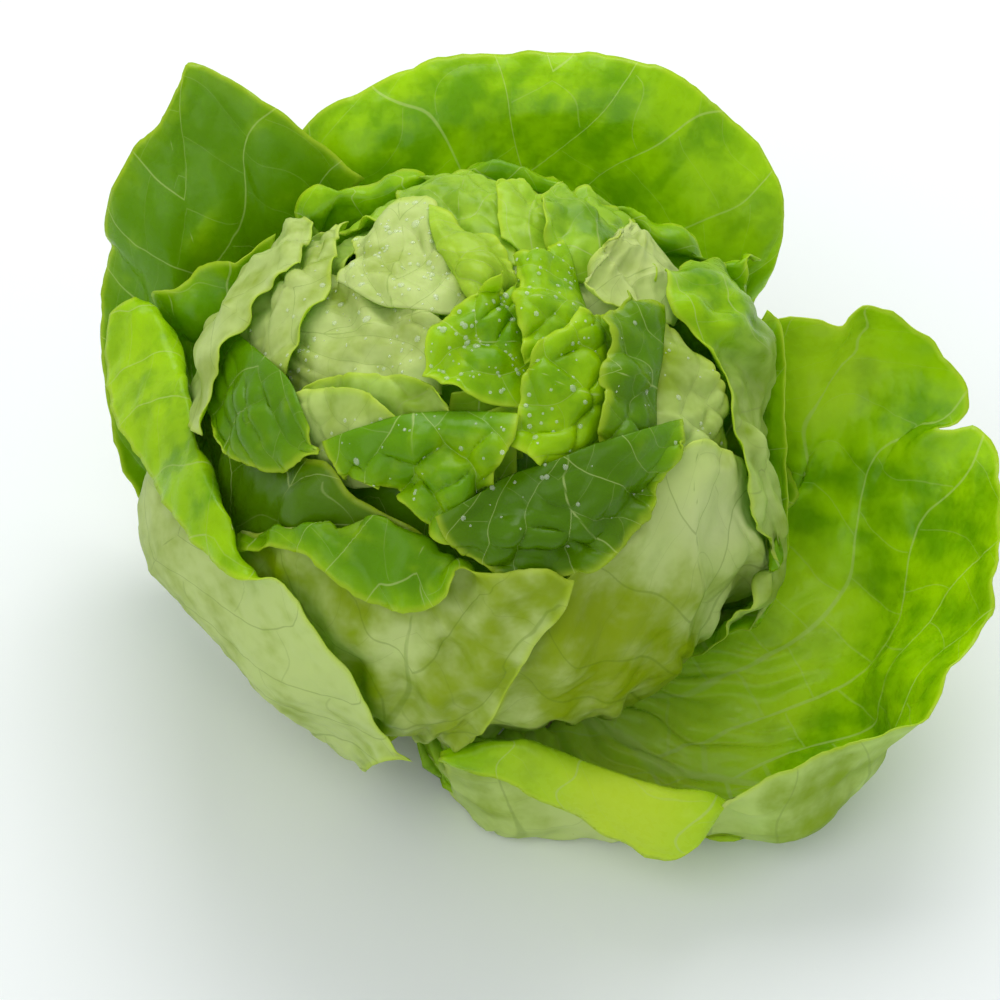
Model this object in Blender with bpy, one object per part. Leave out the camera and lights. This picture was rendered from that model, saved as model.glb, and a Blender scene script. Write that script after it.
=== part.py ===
"""A head of butterhead lettuce that rests on its cut stem, with its wrapper leaves spread.

Run with: blender --background --python part.py

Every leaf is a thin blade lofted through a few rows of points. The rows run from the stem out to the
free rim, and each row goes round the head counter-clockwise as seen from above, so a blade's first
face is the underside that looks away from the heart. Rows near the head are shares of one egg-shaped
shell, which keeps a leaf that grows further out clear of those inside it. Where a rim lies is given
as a viewer sees it who stands in front and looks down at VIEW_PITCH: so far across and so far up
from the middle of the view, in millimetres, and then a height above the table or a share of the shell.
"""

import math

import bmesh
import bpy
import numpy as np
from mathutils import Vector
from mathutils.bvhtree import BVHTree

MM = 0.001

# The head, in millimetres: the middle of its shell over the middle of the cut stem, and its half axes.
HEAD_MIDDLE = np.array([-20.0, 18.0, 78.0])
HEAD_AXES = np.array([70.0, 68.0, 64.0])

# The viewer, who sees the middle of the head at HEAD_SEEN_AT.
VIEW_PITCH = math.radians(50)
VIEW_DISTANCE = 800.0
HEAD_SEEN_AT = (-3.0, 10.0)

# The stem, in millimetres.
BUTT_RADIUS = 15.0
STEM_TOP_RADIUS = 9.0
STEM_TOP = 26.0
STEM_SIDES = 24
BUTT_BEVEL = 1.2

# The leaf bases stand round the stem one above the other.
LOWEST_BASE = 2.6
BASE_STEP = 1.75
BASE_CLEAR = 1.8
OUTER_SHARE = 1.185
SHARE_STEP = 0.0225
FLOOR_CLEAR = 0.4

BLADE = 0.7
FINE = 4
EVENING = 0.75
CLEAR_OF_NEXT = 1.8
FAR_OUT = 300.0
LEAST_GAP = 1.35
MOST_STEP = 12.0
MOST_LIFT = 16.0
LIFT_ROUNDS = 12
SMOOTH_ROUNDS = 7

CORE_SHARE = 0.8
CORE_RINGS = 12
CORE_SIDES = 20

ACROSS = np.array([1.0, 0.0, 0.0])
UP = np.array([0.0, math.sin(VIEW_PITCH), math.cos(VIEW_PITCH)])
AHEAD = np.array([0.0, math.cos(VIEW_PITCH), -math.sin(VIEW_PITCH)])
EYE = HEAD_MIDDLE - HEAD_SEEN_AT[0] * ACROSS - HEAD_SEEN_AT[1] * UP - VIEW_DISTANCE * AHEAD

GREEN = (0.23, 0.42, 0.03)
BRIGHT = (0.32, 0.50, 0.04)
PALE = (0.45, 0.56, 0.16)
STEM_WHITE = (0.78, 0.80, 0.58)


def sight(across, up):
    """The way the viewer looks to see this place, one step long at the head's middle."""
    return VIEW_DISTANCE * AHEAD + across * ACROSS + up * UP


def aloft(across, up, height):
    """The point seen at this place that stands this high above the table."""
    way = sight(across, up)
    return EYE + way * (height - EYE[2]) / way[2]


def snug(across, up, share=1.0):
    """The point seen at this place on the shell, or beside it where the view passes the shell by."""
    way = sight(across, up) / HEAD_AXES
    start = (EYE - HEAD_MIDDLE) / HEAD_AXES
    a, b, c = way @ way, start @ way, start @ start - share**2
    step = (-b - math.sqrt(max(b * b - a * c, 0.0))) / a
    return EYE + sight(across, up) * step


def skin(share, *places):
    """A row of points seen at these places, all on one share of the shell."""
    return [snug(across, up, share) for across, up in places]


def ring(azimuth, half, latitude, share, count, last_latitude=None):
    """A row round the shell, from azimuth - half to azimuth + half degrees, which may climb or sink."""
    if last_latitude is None:
        last_latitude = latitude
    angles = np.radians(np.linspace(azimuth - half, azimuth + half, count))
    row = []
    for angle, level in zip(angles, np.radians(np.linspace(latitude, last_latitude, count))):
        way = (math.cos(angle) * math.cos(level), math.sin(angle) * math.cos(level), math.sin(level))
        row.append(HEAD_MIDDLE + share * HEAD_AXES * way)
    return row


def base(azimuth, half, layer, count):
    """A row round the stem, where the leaf of this layer grows. Layer 0 is the outermost and lowest."""
    height = LOWEST_BASE + BASE_STEP * layer
    radius = BUTT_RADIUS + (STEM_TOP_RADIUS - BUTT_RADIUS) * height / STEM_TOP + BASE_CLEAR
    middle = HEAD_MIDDLE * height / HEAD_MIDDLE[2]
    row = []
    for angle in np.radians(np.linspace(azimuth - half, azimuth + half, count)):
        row.append(middle + radius * np.array([math.cos(angle), math.sin(angle), 0.0]))
    return row


def layer_share(layer):
    return OUTER_SHARE - SHARE_STEP * layer


def rolled(row, out, down):
    """A row moved away from the head's axis and down, for a rim that curls outwards."""
    moved = []
    for point in row:
        away = (point - HEAD_MIDDLE) * (1, 1, 0)
        moved.append(point + away / np.linalg.norm(away) * out - np.array([0.0, 0.0, down]))
    return moved


def wrapped(azimuth, half, layer, *rows, low=-62.0, low_share=None, base_half=40.0):
    """The rows of a leaf that grows from the stem and hugs the shell before it reaches the given rows."""
    count = len(rows[0])
    return [
        base(azimuth, base_half, layer, count),
        ring(azimuth, half, low, low_share or layer_share(layer), count),
        *rows,
    ]


def wrapper_leaves():
    """The loose leaves round the head, from the innermost out: name, colour, rows and cells."""
    back = wrapped(
        82, 42, 0,
        ring(84, 47, -22, 1.2, 12),
        [aloft(55, 33, 38), aloft(61, 44, 56), aloft(66, 60, 74), aloft(64, 76, 90), aloft(52, 88, 102),
         aloft(36, 98, 110), aloft(13, 103, 113), aloft(-11, 101, 111), aloft(-33, 93, 106),
         aloft(-46, 85, 98), aloft(-52, 72, 84), aloft(-56, 60, 66)],
        [aloft(58, 36, 42), aloft(65, 48, 60), aloft(69, 64, 77), aloft(69, 83, 94), aloft(59, 96, 106),
         aloft(41, 107, 115), aloft(14, 113, 118), aloft(-12, 111, 116), aloft(-36, 102, 111),
         aloft(-50, 93, 103), aloft(-56, 78, 88), aloft(-59, 64, 68)],
        low=-72, low_share=1.26,
    )
    left_back = wrapped(
        152, 36, 2,
        ring(168, 26, -58, 1.36, 15),
        ring(155, 40, -14, 1.22, 15, last_latitude=-52),
        [aloft(-37, 78, 98), aloft(-49, 84, 106), aloft(-60, 89, 112), aloft(-68, 93, 115), aloft(-73, 92, 115),
         aloft(-77, 88, 112), aloft(-81, 82, 107), aloft(-85, 76, 101), aloft(-89, 66, 88), aloft(-89, 58, 76),
         aloft(-92, 50, 66), aloft(-93, 38, 52), aloft(-92, 20, 34), aloft(-88, 5, 20), aloft(-81, -8, 10)],
        [aloft(-34, 80, 102), aloft(-48, 92, 113), aloft(-60, 101, 121), aloft(-71, 107.5, 127),
         aloft(-77.5, 110, 129), aloft(-80.5, 104, 125), aloft(-85, 95, 118), aloft(-90.5, 90, 112),
         aloft(-97, 73, 92), aloft(-94, 66, 82), aloft(-98.5, 57, 71), aloft(-99.5, 43, 57),
         aloft(-98, 24, 38), aloft(-93, 5, 23), aloft(-85, -9, 12)],
        low=-68, low_share=1.2,
    )
    front_right = wrapped(
        -52, 52, 1,
        [aloft(-13, -70, 15), aloft(-7, -76, 9), aloft(2, -80.5, 6), aloft(14, -83.5, 5), aloft(27, -86, 5),
         aloft(40, -85, 7), aloft(52, -81, 10), aloft(65, -76, 15), aloft(77, -70, 20), aloft(88, -61, 20),
         aloft(91, -50, 18), aloft(86, -40, 10)],
        [aloft(-14, -59, 47), aloft(-5, -58.5, 46), aloft(7, -59, 47), aloft(17, -65, 43),
         aloft(31, -70.5, 39), aloft(46, -74.5, 36), aloft(57, -77, 34), aloft(70, -70, 38),
         aloft(86, -61, 42), aloft(103, -55.5, 44), aloft(109.5, -47, 42), aloft(104, -36, 32)],
        [aloft(-14.5, -61, 43), aloft(-8, -65, 39), aloft(2, -70, 36), aloft(13, -76, 30),
         aloft(27, -84.5, 22), aloft(40, -89, 17), aloft(54, -84, 26), aloft(71, -71.5, 39),
         aloft(88, -62, 44), aloft(106, -55, 46), aloft(113, -45, 44), aloft(107, -34, 34)],
    )
    right = wrapped(
        -12, 22, 3,
        [aloft(76, -46, 15), aloft(81, -41, 18), aloft(85, -35, 21), aloft(88, -28, 25), aloft(89, -20, 30),
         aloft(88, -12, 35), aloft(86, -4, 40), aloft(84, 3, 45), aloft(81, 8, 49), aloft(78, 9, 51),
         aloft(75.5, 5, 49), aloft(73, -6, 42), aloft(71, -22, 30)],
        [aloft(94, -40, 33), aloft(100, -27, 38), aloft(103, -13, 44), aloft(102, 1, 50), aloft(99, 11, 55),
         aloft(96, 14, 58), aloft(94, 19, 62), aloft(91, 26, 67), aloft(86, 30, 71), aloft(81, 31, 73),
         aloft(77, 28, 72), aloft(74, 22, 68), aloft(72, 12, 61)],
        [aloft(112, -42, 54), aloft(120.5, -28, 58), aloft(126, -11, 61), aloft(126, 6, 66),
         aloft(119.5, 20, 70), aloft(109, 16.5, 66), aloft(117.5, 23.5, 72), aloft(114.5, 32, 78),
         aloft(101, 44, 88), aloft(92, 49, 93), aloft(85.5, 42, 89), aloft(76, 46, 94), aloft(71, 40, 91)],
        low_share=1.06, base_half=34,
    )
    left_front = wrapped(
        210, 47, 4,
        [aloft(-80, 30, 58), aloft(-80, 22, 53), aloft(-81, 14, 46), aloft(-83, 5, 38), aloft(-83, -4, 34),
         aloft(-82, -12, 31), aloft(-79, -22, 28), aloft(-72, -31, 26), aloft(-64, -39, 22),
         aloft(-56, -47, 17), aloft(-48, -56, 10), aloft(-38, -62, 7), aloft(-29, -65, 9)],
        [aloft(-93, 49, 89), aloft(-89, 42, 88), aloft(-85.5, 34, 87), aloft(-81, 24, 88), aloft(-76, 14, 91),
         aloft(-71, 2, 95), aloft(-67, -8, 97), snug(-63.5, -17, 1.1), snug(-57, -24, 1.1),
         snug(-49, -35, 1.1), snug(-40, -48, 1.11), snug(-32, -59, 1.14), snug(-26, -65, 1.19)],
        [aloft(-96.5, 46, 85), aloft(-97.5, 38, 81), aloft(-97, 28, 79), aloft(-92, 17, 80), aloft(-86, 7, 83),
         aloft(-80, -3, 87), aloft(-73, -13, 90), snug(-65, -20, 1.14), snug(-54.5, -20.5, 1.1),
         snug(-45, -31.5, 1.1), snug(-36, -45, 1.11), snug(-29, -58.5, 1.13), snug(-22.5, -65.5, 1.18)],
    )
    back_low = wrapped(
        38, 34, 5,
        ring(38, 34, -32, 1.13, 9),
        rolled(ring(38, 28, -24, 1.2, 9), 4, -3),
    )
    right_upright = wrapped(
        4, 26, 6,
        ring(4, 26, -25, 1.075, 7),
        [aloft(63, -28, 38), aloft(64.5, -9, 56), aloft(65, 6, 67), aloft(65, 20, 77), aloft(64, 30, 84),
         aloft(62, 36, 89), aloft(60, 38, 92)],
        [aloft(66, -24, 42), aloft(68, -5, 60), aloft(69, 10, 72), aloft(70, 26, 84), aloft(69, 38, 92),
         aloft(66, 43, 95), aloft(63, 45, 97)],
        base_half=30,
    )
    left_inner = wrapped(
        166, 30, 7,
        ring(166, 30, -20, 1.07, 9),
        [aloft(-52, 54, 90), aloft(-62, 50, 88), aloft(-68, 50, 87), aloft(-73, 49, 85), aloft(-77, 46, 82),
         aloft(-81, 43, 78), aloft(-81, 36, 72), aloft(-78, 24, 60), aloft(-73, 10, 48)],
        [aloft(-52, 62, 98), aloft(-63, 57.5, 95), aloft(-69, 59, 95), aloft(-76, 57.5, 93),
         aloft(-80, 53.5, 89), aloft(-87, 52, 86), aloft(-86, 42, 77), aloft(-82, 29, 64),
         aloft(-76, 13, 50)],
    )
    return [
        ("wrapper_leaf_left_inner", GREEN, left_inner, (9, 7)),
        ("wrapper_leaf_right_upright", GREEN, right_upright, (8, 7)),
        ("wrapper_leaf_back_low", GREEN, back_low, (8, 6)),
        ("wrapper_leaf_left_front", PALE, left_front, (14, 10)),
        ("wrapper_leaf_right", GREEN, right, (15, 9)),
        ("wrapper_leaf_left_back", GREEN, left_back, (15, 9)),
        ("wrapper_leaf_front_right", BRIGHT, front_right, (14, 10)),
        ("wrapper_leaf_back", GREEN, back, (13, 9)),
    ]


def head_leaves():
    """The outer leaves of the closed head, from the innermost out: name, colour, rows and cells."""
    back_rim = [
        aloft(61, 57, 100), aloft(57, 55, 98), aloft(51.5, 58, 102), aloft(47.5, 63, 106), aloft(41, 68, 110),
        aloft(35, 72, 113), aloft(21, 74, 116), aloft(5.5, 77.5, 119), aloft(-8, 78.5, 120),
        aloft(-13, 76.5, 118), aloft(-18.5, 80, 121), aloft(-28, 78.5, 119), aloft(-37, 77.5, 117),
        aloft(-44, 77.5, 115), aloft(-47, 72, 110), aloft(-44, 66, 104),
    ]
    back = wrapped(
        92, 50, 9,
        ring(92, 56, -12, 1.03, 16),
        back_rim,
        rolled(back_rim, 4.0, 2.5),
    )
    left_crest = [aloft(-50, 66, 107), aloft(-57, 60.5, 103), aloft(-64, 54, 98), aloft(-67.5, 48, 94),
                  aloft(-71, 41, 90), aloft(-72.5, 34, 86), aloft(-74, 25, 82), aloft(-75, 18, 78)]
    left = wrapped(
        172, 32, 8,
        ring(172, 34, -15, 1.03, 8),
        left_crest,
        [snug(-45, 67, 1.05), snug(-49.5, 56, 1.04), snug(-56, 50, 1.03), snug(-61, 43, 1.03),
         snug(-65, 36, 1.03), snug(-68, 29, 1.03), snug(-70.5, 22, 1.04), snug(-73, 16, 1.05)],
    )
    right = wrapped(
        2, 34, 8,
        ring(6, 36, -15, 1.02, 9),
        [snug(66, -10, 1.02), snug(66, 3, 1.02), snug(64, 14, 1.01), snug(61.5, 24, 1.01), snug(59, 33, 1.02),
         snug(59, 38, 1.04), snug(60, 43, 1.08), snug(60, 49, 1.1), aloft(56, 57, 99)],
        [snug(60, -5, 0.99), snug(58.5, 6, 0.99), snug(56.5, 17, 0.99), snug(54.5, 29, 0.99),
         snug(50, 37, 0.99), snug(46.5, 43, 1.0), snug(42, 49, 1.01), snug(40.5, 55, 1.03),
         snug(46, 59, 1.05)],
    )
    front = wrapped(
        -104, 44, 10,
        [snug(-62, -22, 1.02), snug(-55, -28, 1.02), snug(-47, -33, 1.02), snug(-38, -39, 1.02),
         snug(-28, -44, 1.02), snug(-20, -47, 1.02), snug(-12, -48, 1.02), snug(-6, -47, 1.02),
         snug(-1, -45, 1.02), snug(3, -42.5, 1.02), snug(7, -39.5, 1.02), snug(9.5, -36.5, 1.02)],
        [snug(-65, -8, 1.0), snug(-59, -6, 1.0), snug(-50, -5.5, 1.0), snug(-40, -5.5, 0.99),
         snug(-28, -6.5, 0.99), snug(-17, -11, 0.985), snug(-10, -18, 0.99), snug(-3, -21, 1.0),
         snug(4, -21, 1.005), snug(9.5, -21, 1.01), snug(14, -22.5, 1.01), snug(15.5, -26, 1.01)],
        [snug(-66, -13, 1.03), snug(-57.5, -12, 1.04), snug(-48, -14, 1.05), snug(-40, -21.5, 1.07),
         snug(-27, -28, 1.08), snug(-17, -27, 1.07), snug(-9.5, -19.5, 1.03), snug(-3, -17, 1.0),
         snug(4, -16, 1.0), snug(10, -15.5, 1.0), snug(15, -18, 1.0), snug(17.5, -19, 1.0)],
    )
    front_right = wrapped(
        -36, 38, 11,
        [snug(15, -46, 0.98), snug(24, -40, 0.98), snug(33, -34, 0.98), snug(42, -29, 0.98),
         snug(49, -26, 0.99), snug(55, -23, 0.99), snug(60, -20, 0.99), snug(64, -18, 1.0),
         snug(66, -16, 1.0), snug(67, -15, 1.0)],
        [snug(12, -30, 0.96), snug(20, -20, 0.95), snug(29, -10, 0.95), snug(37, 1, 0.95),
         snug(43, 9, 0.96), snug(48.5, 10, 0.97), snug(56, 7, 0.97), snug(61, 2, 0.98),
         snug(65.5, -5, 0.985), snug(67, -12, 0.99)],
        [snug(12, -26, 0.95), snug(20, -15, 0.94), snug(29.5, -5, 0.94), snug(38, 6, 0.945),
         snug(43.5, 13.5, 0.955), snug(49, 14.5, 0.96), snug(57, 11, 0.965), snug(62, 6, 0.975),
         snug(66, -2, 0.985), snug(67.5, -10, 0.99)],
    )
    left_front = wrapped(
        200, 38, 12,
        [snug(-72.5, 12, 0.985), snug(-71, 5, 0.985), snug(-68, 0, 0.98), snug(-62, -5, 0.98),
         snug(-56, -8, 0.975), snug(-51, -10, 0.975), snug(-46, -12, 0.97), snug(-39, -14, 0.965),
         snug(-31, -17, 0.96), snug(-23, -21, 0.955)],
        [snug(-70, 30, 0.97), snug(-66, 26, 0.955), snug(-58, 19, 0.95), snug(-49, 12, 0.95),
         snug(-42, 9.5, 0.955), snug(-38.5, 5, 0.96), snug(-36, 1, 0.96), snug(-29, -3, 0.955),
         snug(-21, -7, 0.95), snug(-15, -12, 0.94)],
    )
    front_bright = [
        skin(0.90, (-14, -2), (0, 5), (12, 10), (25, 15), (40, 19)),
        skin(0.965, (-12, -9), (2, -3), (12, 1), (25, 6), (42, 14)),
        skin(0.99, (4, -20), (16, -19), (25, -14), (33, -7), (43.5, 12)),
    ]
    left_pocket = [
        skin(0.90, (-64, 42), (-57, 37), (-50, 31), (-45, 25), (-42, 17)),
        skin(0.97, (-68.5, 27), (-63, 20), (-57, 16.5), (-50, 13), (-44, 10)),
        skin(1.0, (-67.5, 16), (-63, 9), (-57, 7), (-50, 7.3), (-44, 8.5)),
    ]
    return [
        ("head_leaf_left_front", GREEN, left_front, (10, 8)),
        ("head_leaf_left_pocket", BRIGHT, left_pocket, (8, 5)),
        ("head_leaf_front_right", PALE, front_right, (11, 9)),
        ("head_leaf_front_bright", BRIGHT, front_bright, (10, 6)),
        ("head_leaf_front", PALE, front, (13, 10)),
        ("head_leaf_right", PALE, right, (10, 9)),
        ("head_leaf_back", GREEN, back, (15, 8)),
        ("head_leaf_left", PALE, left, (10, 9)),
    ]


def inner_leaves():
    """The short leaves of the middle, from the innermost out: name, colour, rows and cells."""
    return [
        ("inner_leaf_back_right", GREEN, [
            ring(52, 42, 10, 0.86, 5),
            ring(54, 40, 36, 0.93, 5),
            ring(56, 34, 52, 0.955, 5),
        ], (8, 4)),
        ("inner_leaf_back_left", GREEN, [
            ring(138, 44, 8, 0.86, 5),
            ring(134, 42, 34, 0.93, 5),
            ring(130, 38, 54, 0.945, 5),
        ], (8, 4)),
        ("inner_leaf_back", BRIGHT, [
            ring(96, 34, 24, 0.86, 5),
            ring(96, 34, 42, 0.93, 5),
            ring(92, 30, 58, 0.95, 5),
        ], (7, 4)),
        ("inner_leaf_top_back", PALE, [
            skin(0.91, (-24, 64), (-14, 62), (-5, 59), (4, 58)),
            skin(0.96, (-23, 71), (-14, 74), (-5, 75), (3, 72)),
        ], (7, 3)),
        ("inner_leaf_top", PALE, [
            skin(0.91, (0, 62), (5, 60), (11, 58), (18, 58)),
            skin(0.945, (-0.5, 68), (4, 66), (10, 64), (17, 63)),
            skin(0.97, (-1.5, 72), (5, 73), (11, 71), (18, 67)),
        ], (6, 3)),
        ("inner_leaf_top_right", BRIGHT, [
            skin(0.92, (13, 57), (18, 54), (24, 54), (29, 56), (33, 58)),
            skin(0.955, (11, 62), (16, 60), (23, 59), (28, 60), (33, 61)),
            skin(0.975, (9, 71), (16, 72), (23, 71.5), (29, 69), (34, 64)),
        ], (7, 4)),
        ("inner_leaf_left_low", PALE, [
            skin(0.89, (-53, 52), (-58, 44), (-58, 34), (-54, 24)),
            skin(0.925, (-38, 54), (-41, 45), (-41, 36), (-38, 26)),
            skin(0.945, (-26, 51), (-17, 47.5), (-13.5, 40), (-15, 27)),
        ], (8, 6)),
        ("inner_leaf_left_olive", GREEN, [
            skin(0.88, (-50, 20), (-40, 14), (-28, 12), (-18, 14), (-10, 18)),
            skin(0.935, (-48, 26), (-39, 25), (-30, 24), (-20, 23), (-12, 23)),
            skin(0.955, (-47.5, 29.5), (-40, 31.8), (-31, 31.8), (-22, 31), (-14.5, 27.5)),
        ], (8, 4)),
        ("inner_leaf_left_round", PALE, [
            skin(0.90, (-52, 14), (-44, 6), (-36, 3), (-27, 4), (-17, 6)),
            skin(0.94, (-50.5, 21), (-43, 17), (-36, 15), (-27, 14), (-18, 12)),
            skin(0.965, (-51, 26), (-44, 27.5), (-34, 26.8), (-25, 22), (-18, 15)),
        ], (8, 5)),
        ("inner_leaf_droplet_back", PALE, [
            skin(0.90, (-37, 50), (-30, 46), (-22, 44), (-14, 44), (-7, 47)),
            skin(0.94, (-34.5, 58), (-29, 55), (-23, 53), (-17, 52), (-11, 54)),
            skin(0.955, (-36, 61.5), (-31, 65), (-25, 67.5), (-17, 68.5), (-13.5, 63)),
        ], (7, 5)),
        ("inner_leaf_left_triangle", PALE, [
            skin(0.90, (-44, 66), (-56, 57), (-65, 49), (-69, 39), (-68, 29)),
            skin(0.935, (-40, 65), (-48, 56), (-54, 47), (-59, 38), (-60, 30)),
            skin(0.955, (-35.5, 64.5), (-39.5, 54), (-43, 45), (-49, 34), (-53, 29)),
        ], (7, 5)),
        ("inner_leaf_yellow_fold", BRIGHT, [
            skin(0.93, (-16, 66), (-15.5, 60), (-12, 55), (-8, 50)),
            skin(0.985, (-9, 66), (-6.5, 60), (-6, 55), (-4.5, 50)),
            skin(0.95, (-2, 63.5), (2, 60), (4.5, 54.5), (0, 50)),
        ], (6, 5)),
        ("inner_leaf_droplet_middle", BRIGHT, [
            skin(0.92, (9, 55), (9, 46), (8, 37), (7, 29), (6, 22)),
            skin(0.955, (-1, 50), (-5, 43.5), (-8, 37), (-9, 31), (-8, 25)),
            skin(0.965, (0, 53), (-9, 47.5), (-15, 41.5), (-18.5, 35), (-20, 30)),
        ], (8, 5)),
        ("inner_leaf_middle", BRIGHT, [
            skin(0.93, (14, 60), (18, 54), (21, 48), (22, 42), (15, 34)),
            skin(0.985, (9, 60), (10.5, 53), (11.5, 47), (11.5, 41), (10, 35)),
            skin(0.96, (5, 58.5), (4.2, 51), (3.5, 44), (3.5, 38), (6, 33)),
        ], (7, 5)),
        ("inner_leaf_middle_front", BRIGHT, [
            skin(0.94, (27, 46), (28, 36), (28, 26), (26, 15), (12, 5)),
            skin(0.985, (20, 44.5), (17, 37), (15, 28), (13, 18), (8, 11)),
            skin(0.965, (18, 43), (10, 38), (6, 31), (4, 22), (2, 14)),
        ], (8, 6)),
        ("inner_leaf_right", PALE, [
            skin(0.90, (30, 48), (29, 36), (28, 24), (27, 12), (27, 2)),
            skin(0.945, (39, 41), (41, 31), (43, 20), (44, 9), (44, 0)),
            skin(0.975, (41, 45), (49.5, 35.5), (55, 26), (57.5, 16), (57.5, 6)),
        ], (8, 6)),
        ("inner_leaf_curl_back", PALE, [
            skin(0.92, (36, 66), (39, 60), (41, 55), (43, 51), (44, 47), (43, 43)),
            skin(0.965, (31, 65), (31, 59), (32, 55), (35, 52), (38, 49), (41, 44.5)),
            skin(0.98, (27, 63), (22.5, 57), (21, 53), (27, 49.5), (33, 48), (38, 44)),
        ], (8, 5)),
        ("inner_leaf_narrow_fold", GREEN, [
            skin(0.94, (38, 46), (38, 36), (37, 26), (37, 16), (36, 6)),
            skin(1.0, (32.5, 49), (30, 40), (28.5, 29), (28.5, 19), (30, 9)),
            skin(0.97, (28, 50), (24.5, 42.5), (23, 30), (23, 20), (25, 10)),
        ], (8, 5)),
        ("inner_leaf_pocket", BRIGHT, [
            skin(0.90, (-40, 14), (-30, 17), (-20, 20), (-8, 21), (4, 20)),
            skin(0.965, (-40, 9), (-31, 11), (-20, 13.5), (-9, 15.5), (3, 14.5)),
            skin(0.975, (-38, 6), (-29, 2.5), (-21, -2.5), (-12, -9.5), (-8.5, -1)),
        ], (8, 5)),
    ]


def heart_leaves():
    """The small leaves that stand out of the heart, as rows and cells."""
    return [
        ([
            skin(0.74, (10, 36), (18, 33), (28, 32)),
            skin(0.86, (4, 50), (15, 45), (27, 42)),
            skin(0.915, (0, 66), (15, 60), (31, 50)),
        ], (5, 5)),
        ([
            skin(0.74, (-14, 12), (-4, 11), (6, 12)),
            skin(0.86, (-13, 22), (-4, 22), (5, 21)),
            skin(0.92, (-12, 27), (-3, 28.5), (4, 26.5)),
        ], (4, 4)),
        ([
            skin(0.74, (-16, 5), (-5, 6), (6, 8)),
            skin(0.88, (-11, 14), (-3, 17), (5, 18)),
            skin(0.94, (-10, 17.5), (-3, 22.5), (4.5, 25)),
        ], (4, 4)),
        ([
            skin(0.74, (-24, -2), (-10, -2), (4, 2)),
            skin(0.88, (-20, 8), (-7, 9), (4, 12)),
            skin(0.935, (-16, 13), (-6, 17), (4, 19.5)),
        ], (5, 4)),
    ]


def knots_of(rows):
    """Where the rows stand between 0 at the stem and 1 at the rim, by their mean distance."""
    gaps = [np.linalg.norm(np.array(a) - np.array(b), axis=1).mean() for a, b in zip(rows, rows[1:])]
    return np.concatenate([[0.0], np.cumsum(gaps)]) / sum(gaps)


def smooth_through(values, knots, at):
    """Values on a smooth curve through the given ones, at places along its knots."""
    slopes = np.gradient(values, knots, axis=0)
    span = np.clip(np.searchsorted(knots, at, side="right") - 1, 0, len(knots) - 2)
    width = (knots[span + 1] - knots[span])[:, None]
    t = (at[:, None] - knots[span][:, None]) / width
    first, last = values[span], values[span + 1]
    start, end = slopes[span] * width, slopes[span + 1] * width
    return (
        (2 * t**3 - 3 * t**2 + 1) * first
        + (t**3 - 2 * t**2 + t) * start
        + (3 * t**2 - 2 * t**3) * last
        + (t**3 - t**2) * end
    )


def shell_values(row):
    """Each point as a way out from the head's middle and the share of the shell that it lies at."""
    scaled = (np.array(row) - HEAD_MIDDLE) / HEAD_AXES
    share = np.linalg.norm(scaled, axis=1, keepdims=True)
    return np.hstack([scaled / share, share])


def from_shell(values):
    ways = values[:, :3] / np.linalg.norm(values[:, :3], axis=1, keepdims=True)
    points = HEAD_MIDDLE + HEAD_AXES * ways * values[:, 3:]
    points[:, 2] = np.maximum(points[:, 2], FLOOR_CLEAR + BLADE)
    return points


def places_along(knots, cells):
    """Where the cuts across a blade fall: each span between rows gets its part of them."""
    places = [0.0]
    for low, high in zip(knots, knots[1:]):
        parts = max(1, round(cells * (high - low)))
        places += list(low + (high - low) * np.arange(1, parts + 1) / parts)
    return np.array(places)


def evened(line):
    """Every FINE-th point of a line, some of the way towards being evenly far apart."""
    run = np.concatenate([[0.0], np.cumsum(np.linalg.norm(np.diff(line, axis=0), axis=1))])
    picked = run[::FINE]
    wanted = picked + EVENING * (np.linspace(0, run[-1], len(picked)) - picked)
    return np.array([np.interp(wanted, run, line[:, axis]) for axis in range(3)]).T


def lofted(rows, columns, cells):
    """The blade's points as an array: cuts from stem to rim, then columns, then x, y and z in millimetres."""
    knots = knots_of(rows)
    across = np.linspace(0, 1, columns * FINE + 1)
    values = []
    for row in rows:
        own = np.linspace(0, 1, len(row))
        values.append(smooth_through(shell_values(row), own, across))
    coarse = places_along(knots, cells)
    places = np.interp(np.arange((len(coarse) - 1) * FINE + 1) / FINE, np.arange(len(coarse)), coarse)
    along = smooth_through(np.array(values).reshape(len(rows), -1), knots, places)
    points = from_shell(along.reshape(-1, 4)).reshape(len(places), len(across), 3)
    cuts = np.array([evened(points[:, j]) for j in range(len(across))]).transpose(1, 0, 2)
    return np.array([evened(cut) for cut in cuts])


def halved(grid):
    """The same grid with one more point between each two neighbours."""
    cuts, columns = grid.shape[:2]
    fine = np.zeros((2 * cuts - 1, 2 * columns - 1, 3))
    fine[::2, ::2] = grid
    fine[1::2, ::2] = (grid[1:] + grid[:-1]) / 2
    fine[:, 1::2] = (fine[:, 2::2] + fine[:, :-2:2]) / 2
    return fine


def shortfall(points, stack):
    """How far each point has to move out from the head's middle to clear the leaves stacked so far."""
    needed = np.zeros(points.shape[:2])
    for index in np.ndindex(*needed.shape):
        way = points[index] - HEAD_MIDDLE
        reach = np.linalg.norm(way)
        way /= reach
        hit = stack.ray_cast(Vector(HEAD_MIDDLE + way * FAR_OUT), Vector(-way), FAR_OUT)
        if hit[0] is not None:
            needed[index] = np.clip(FAR_OUT - hit[3] + CLEAR_OF_NEXT - reach, 0.0, None)
        if needed[index] > MOST_STEP:
            needed[index] = 0.0
        near = stack.find_nearest(Vector(points[index]), LEAST_GAP)
        if near[0] is not None:
            needed[index] = max(needed[index], LEAST_GAP - near[3])
    return needed


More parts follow.
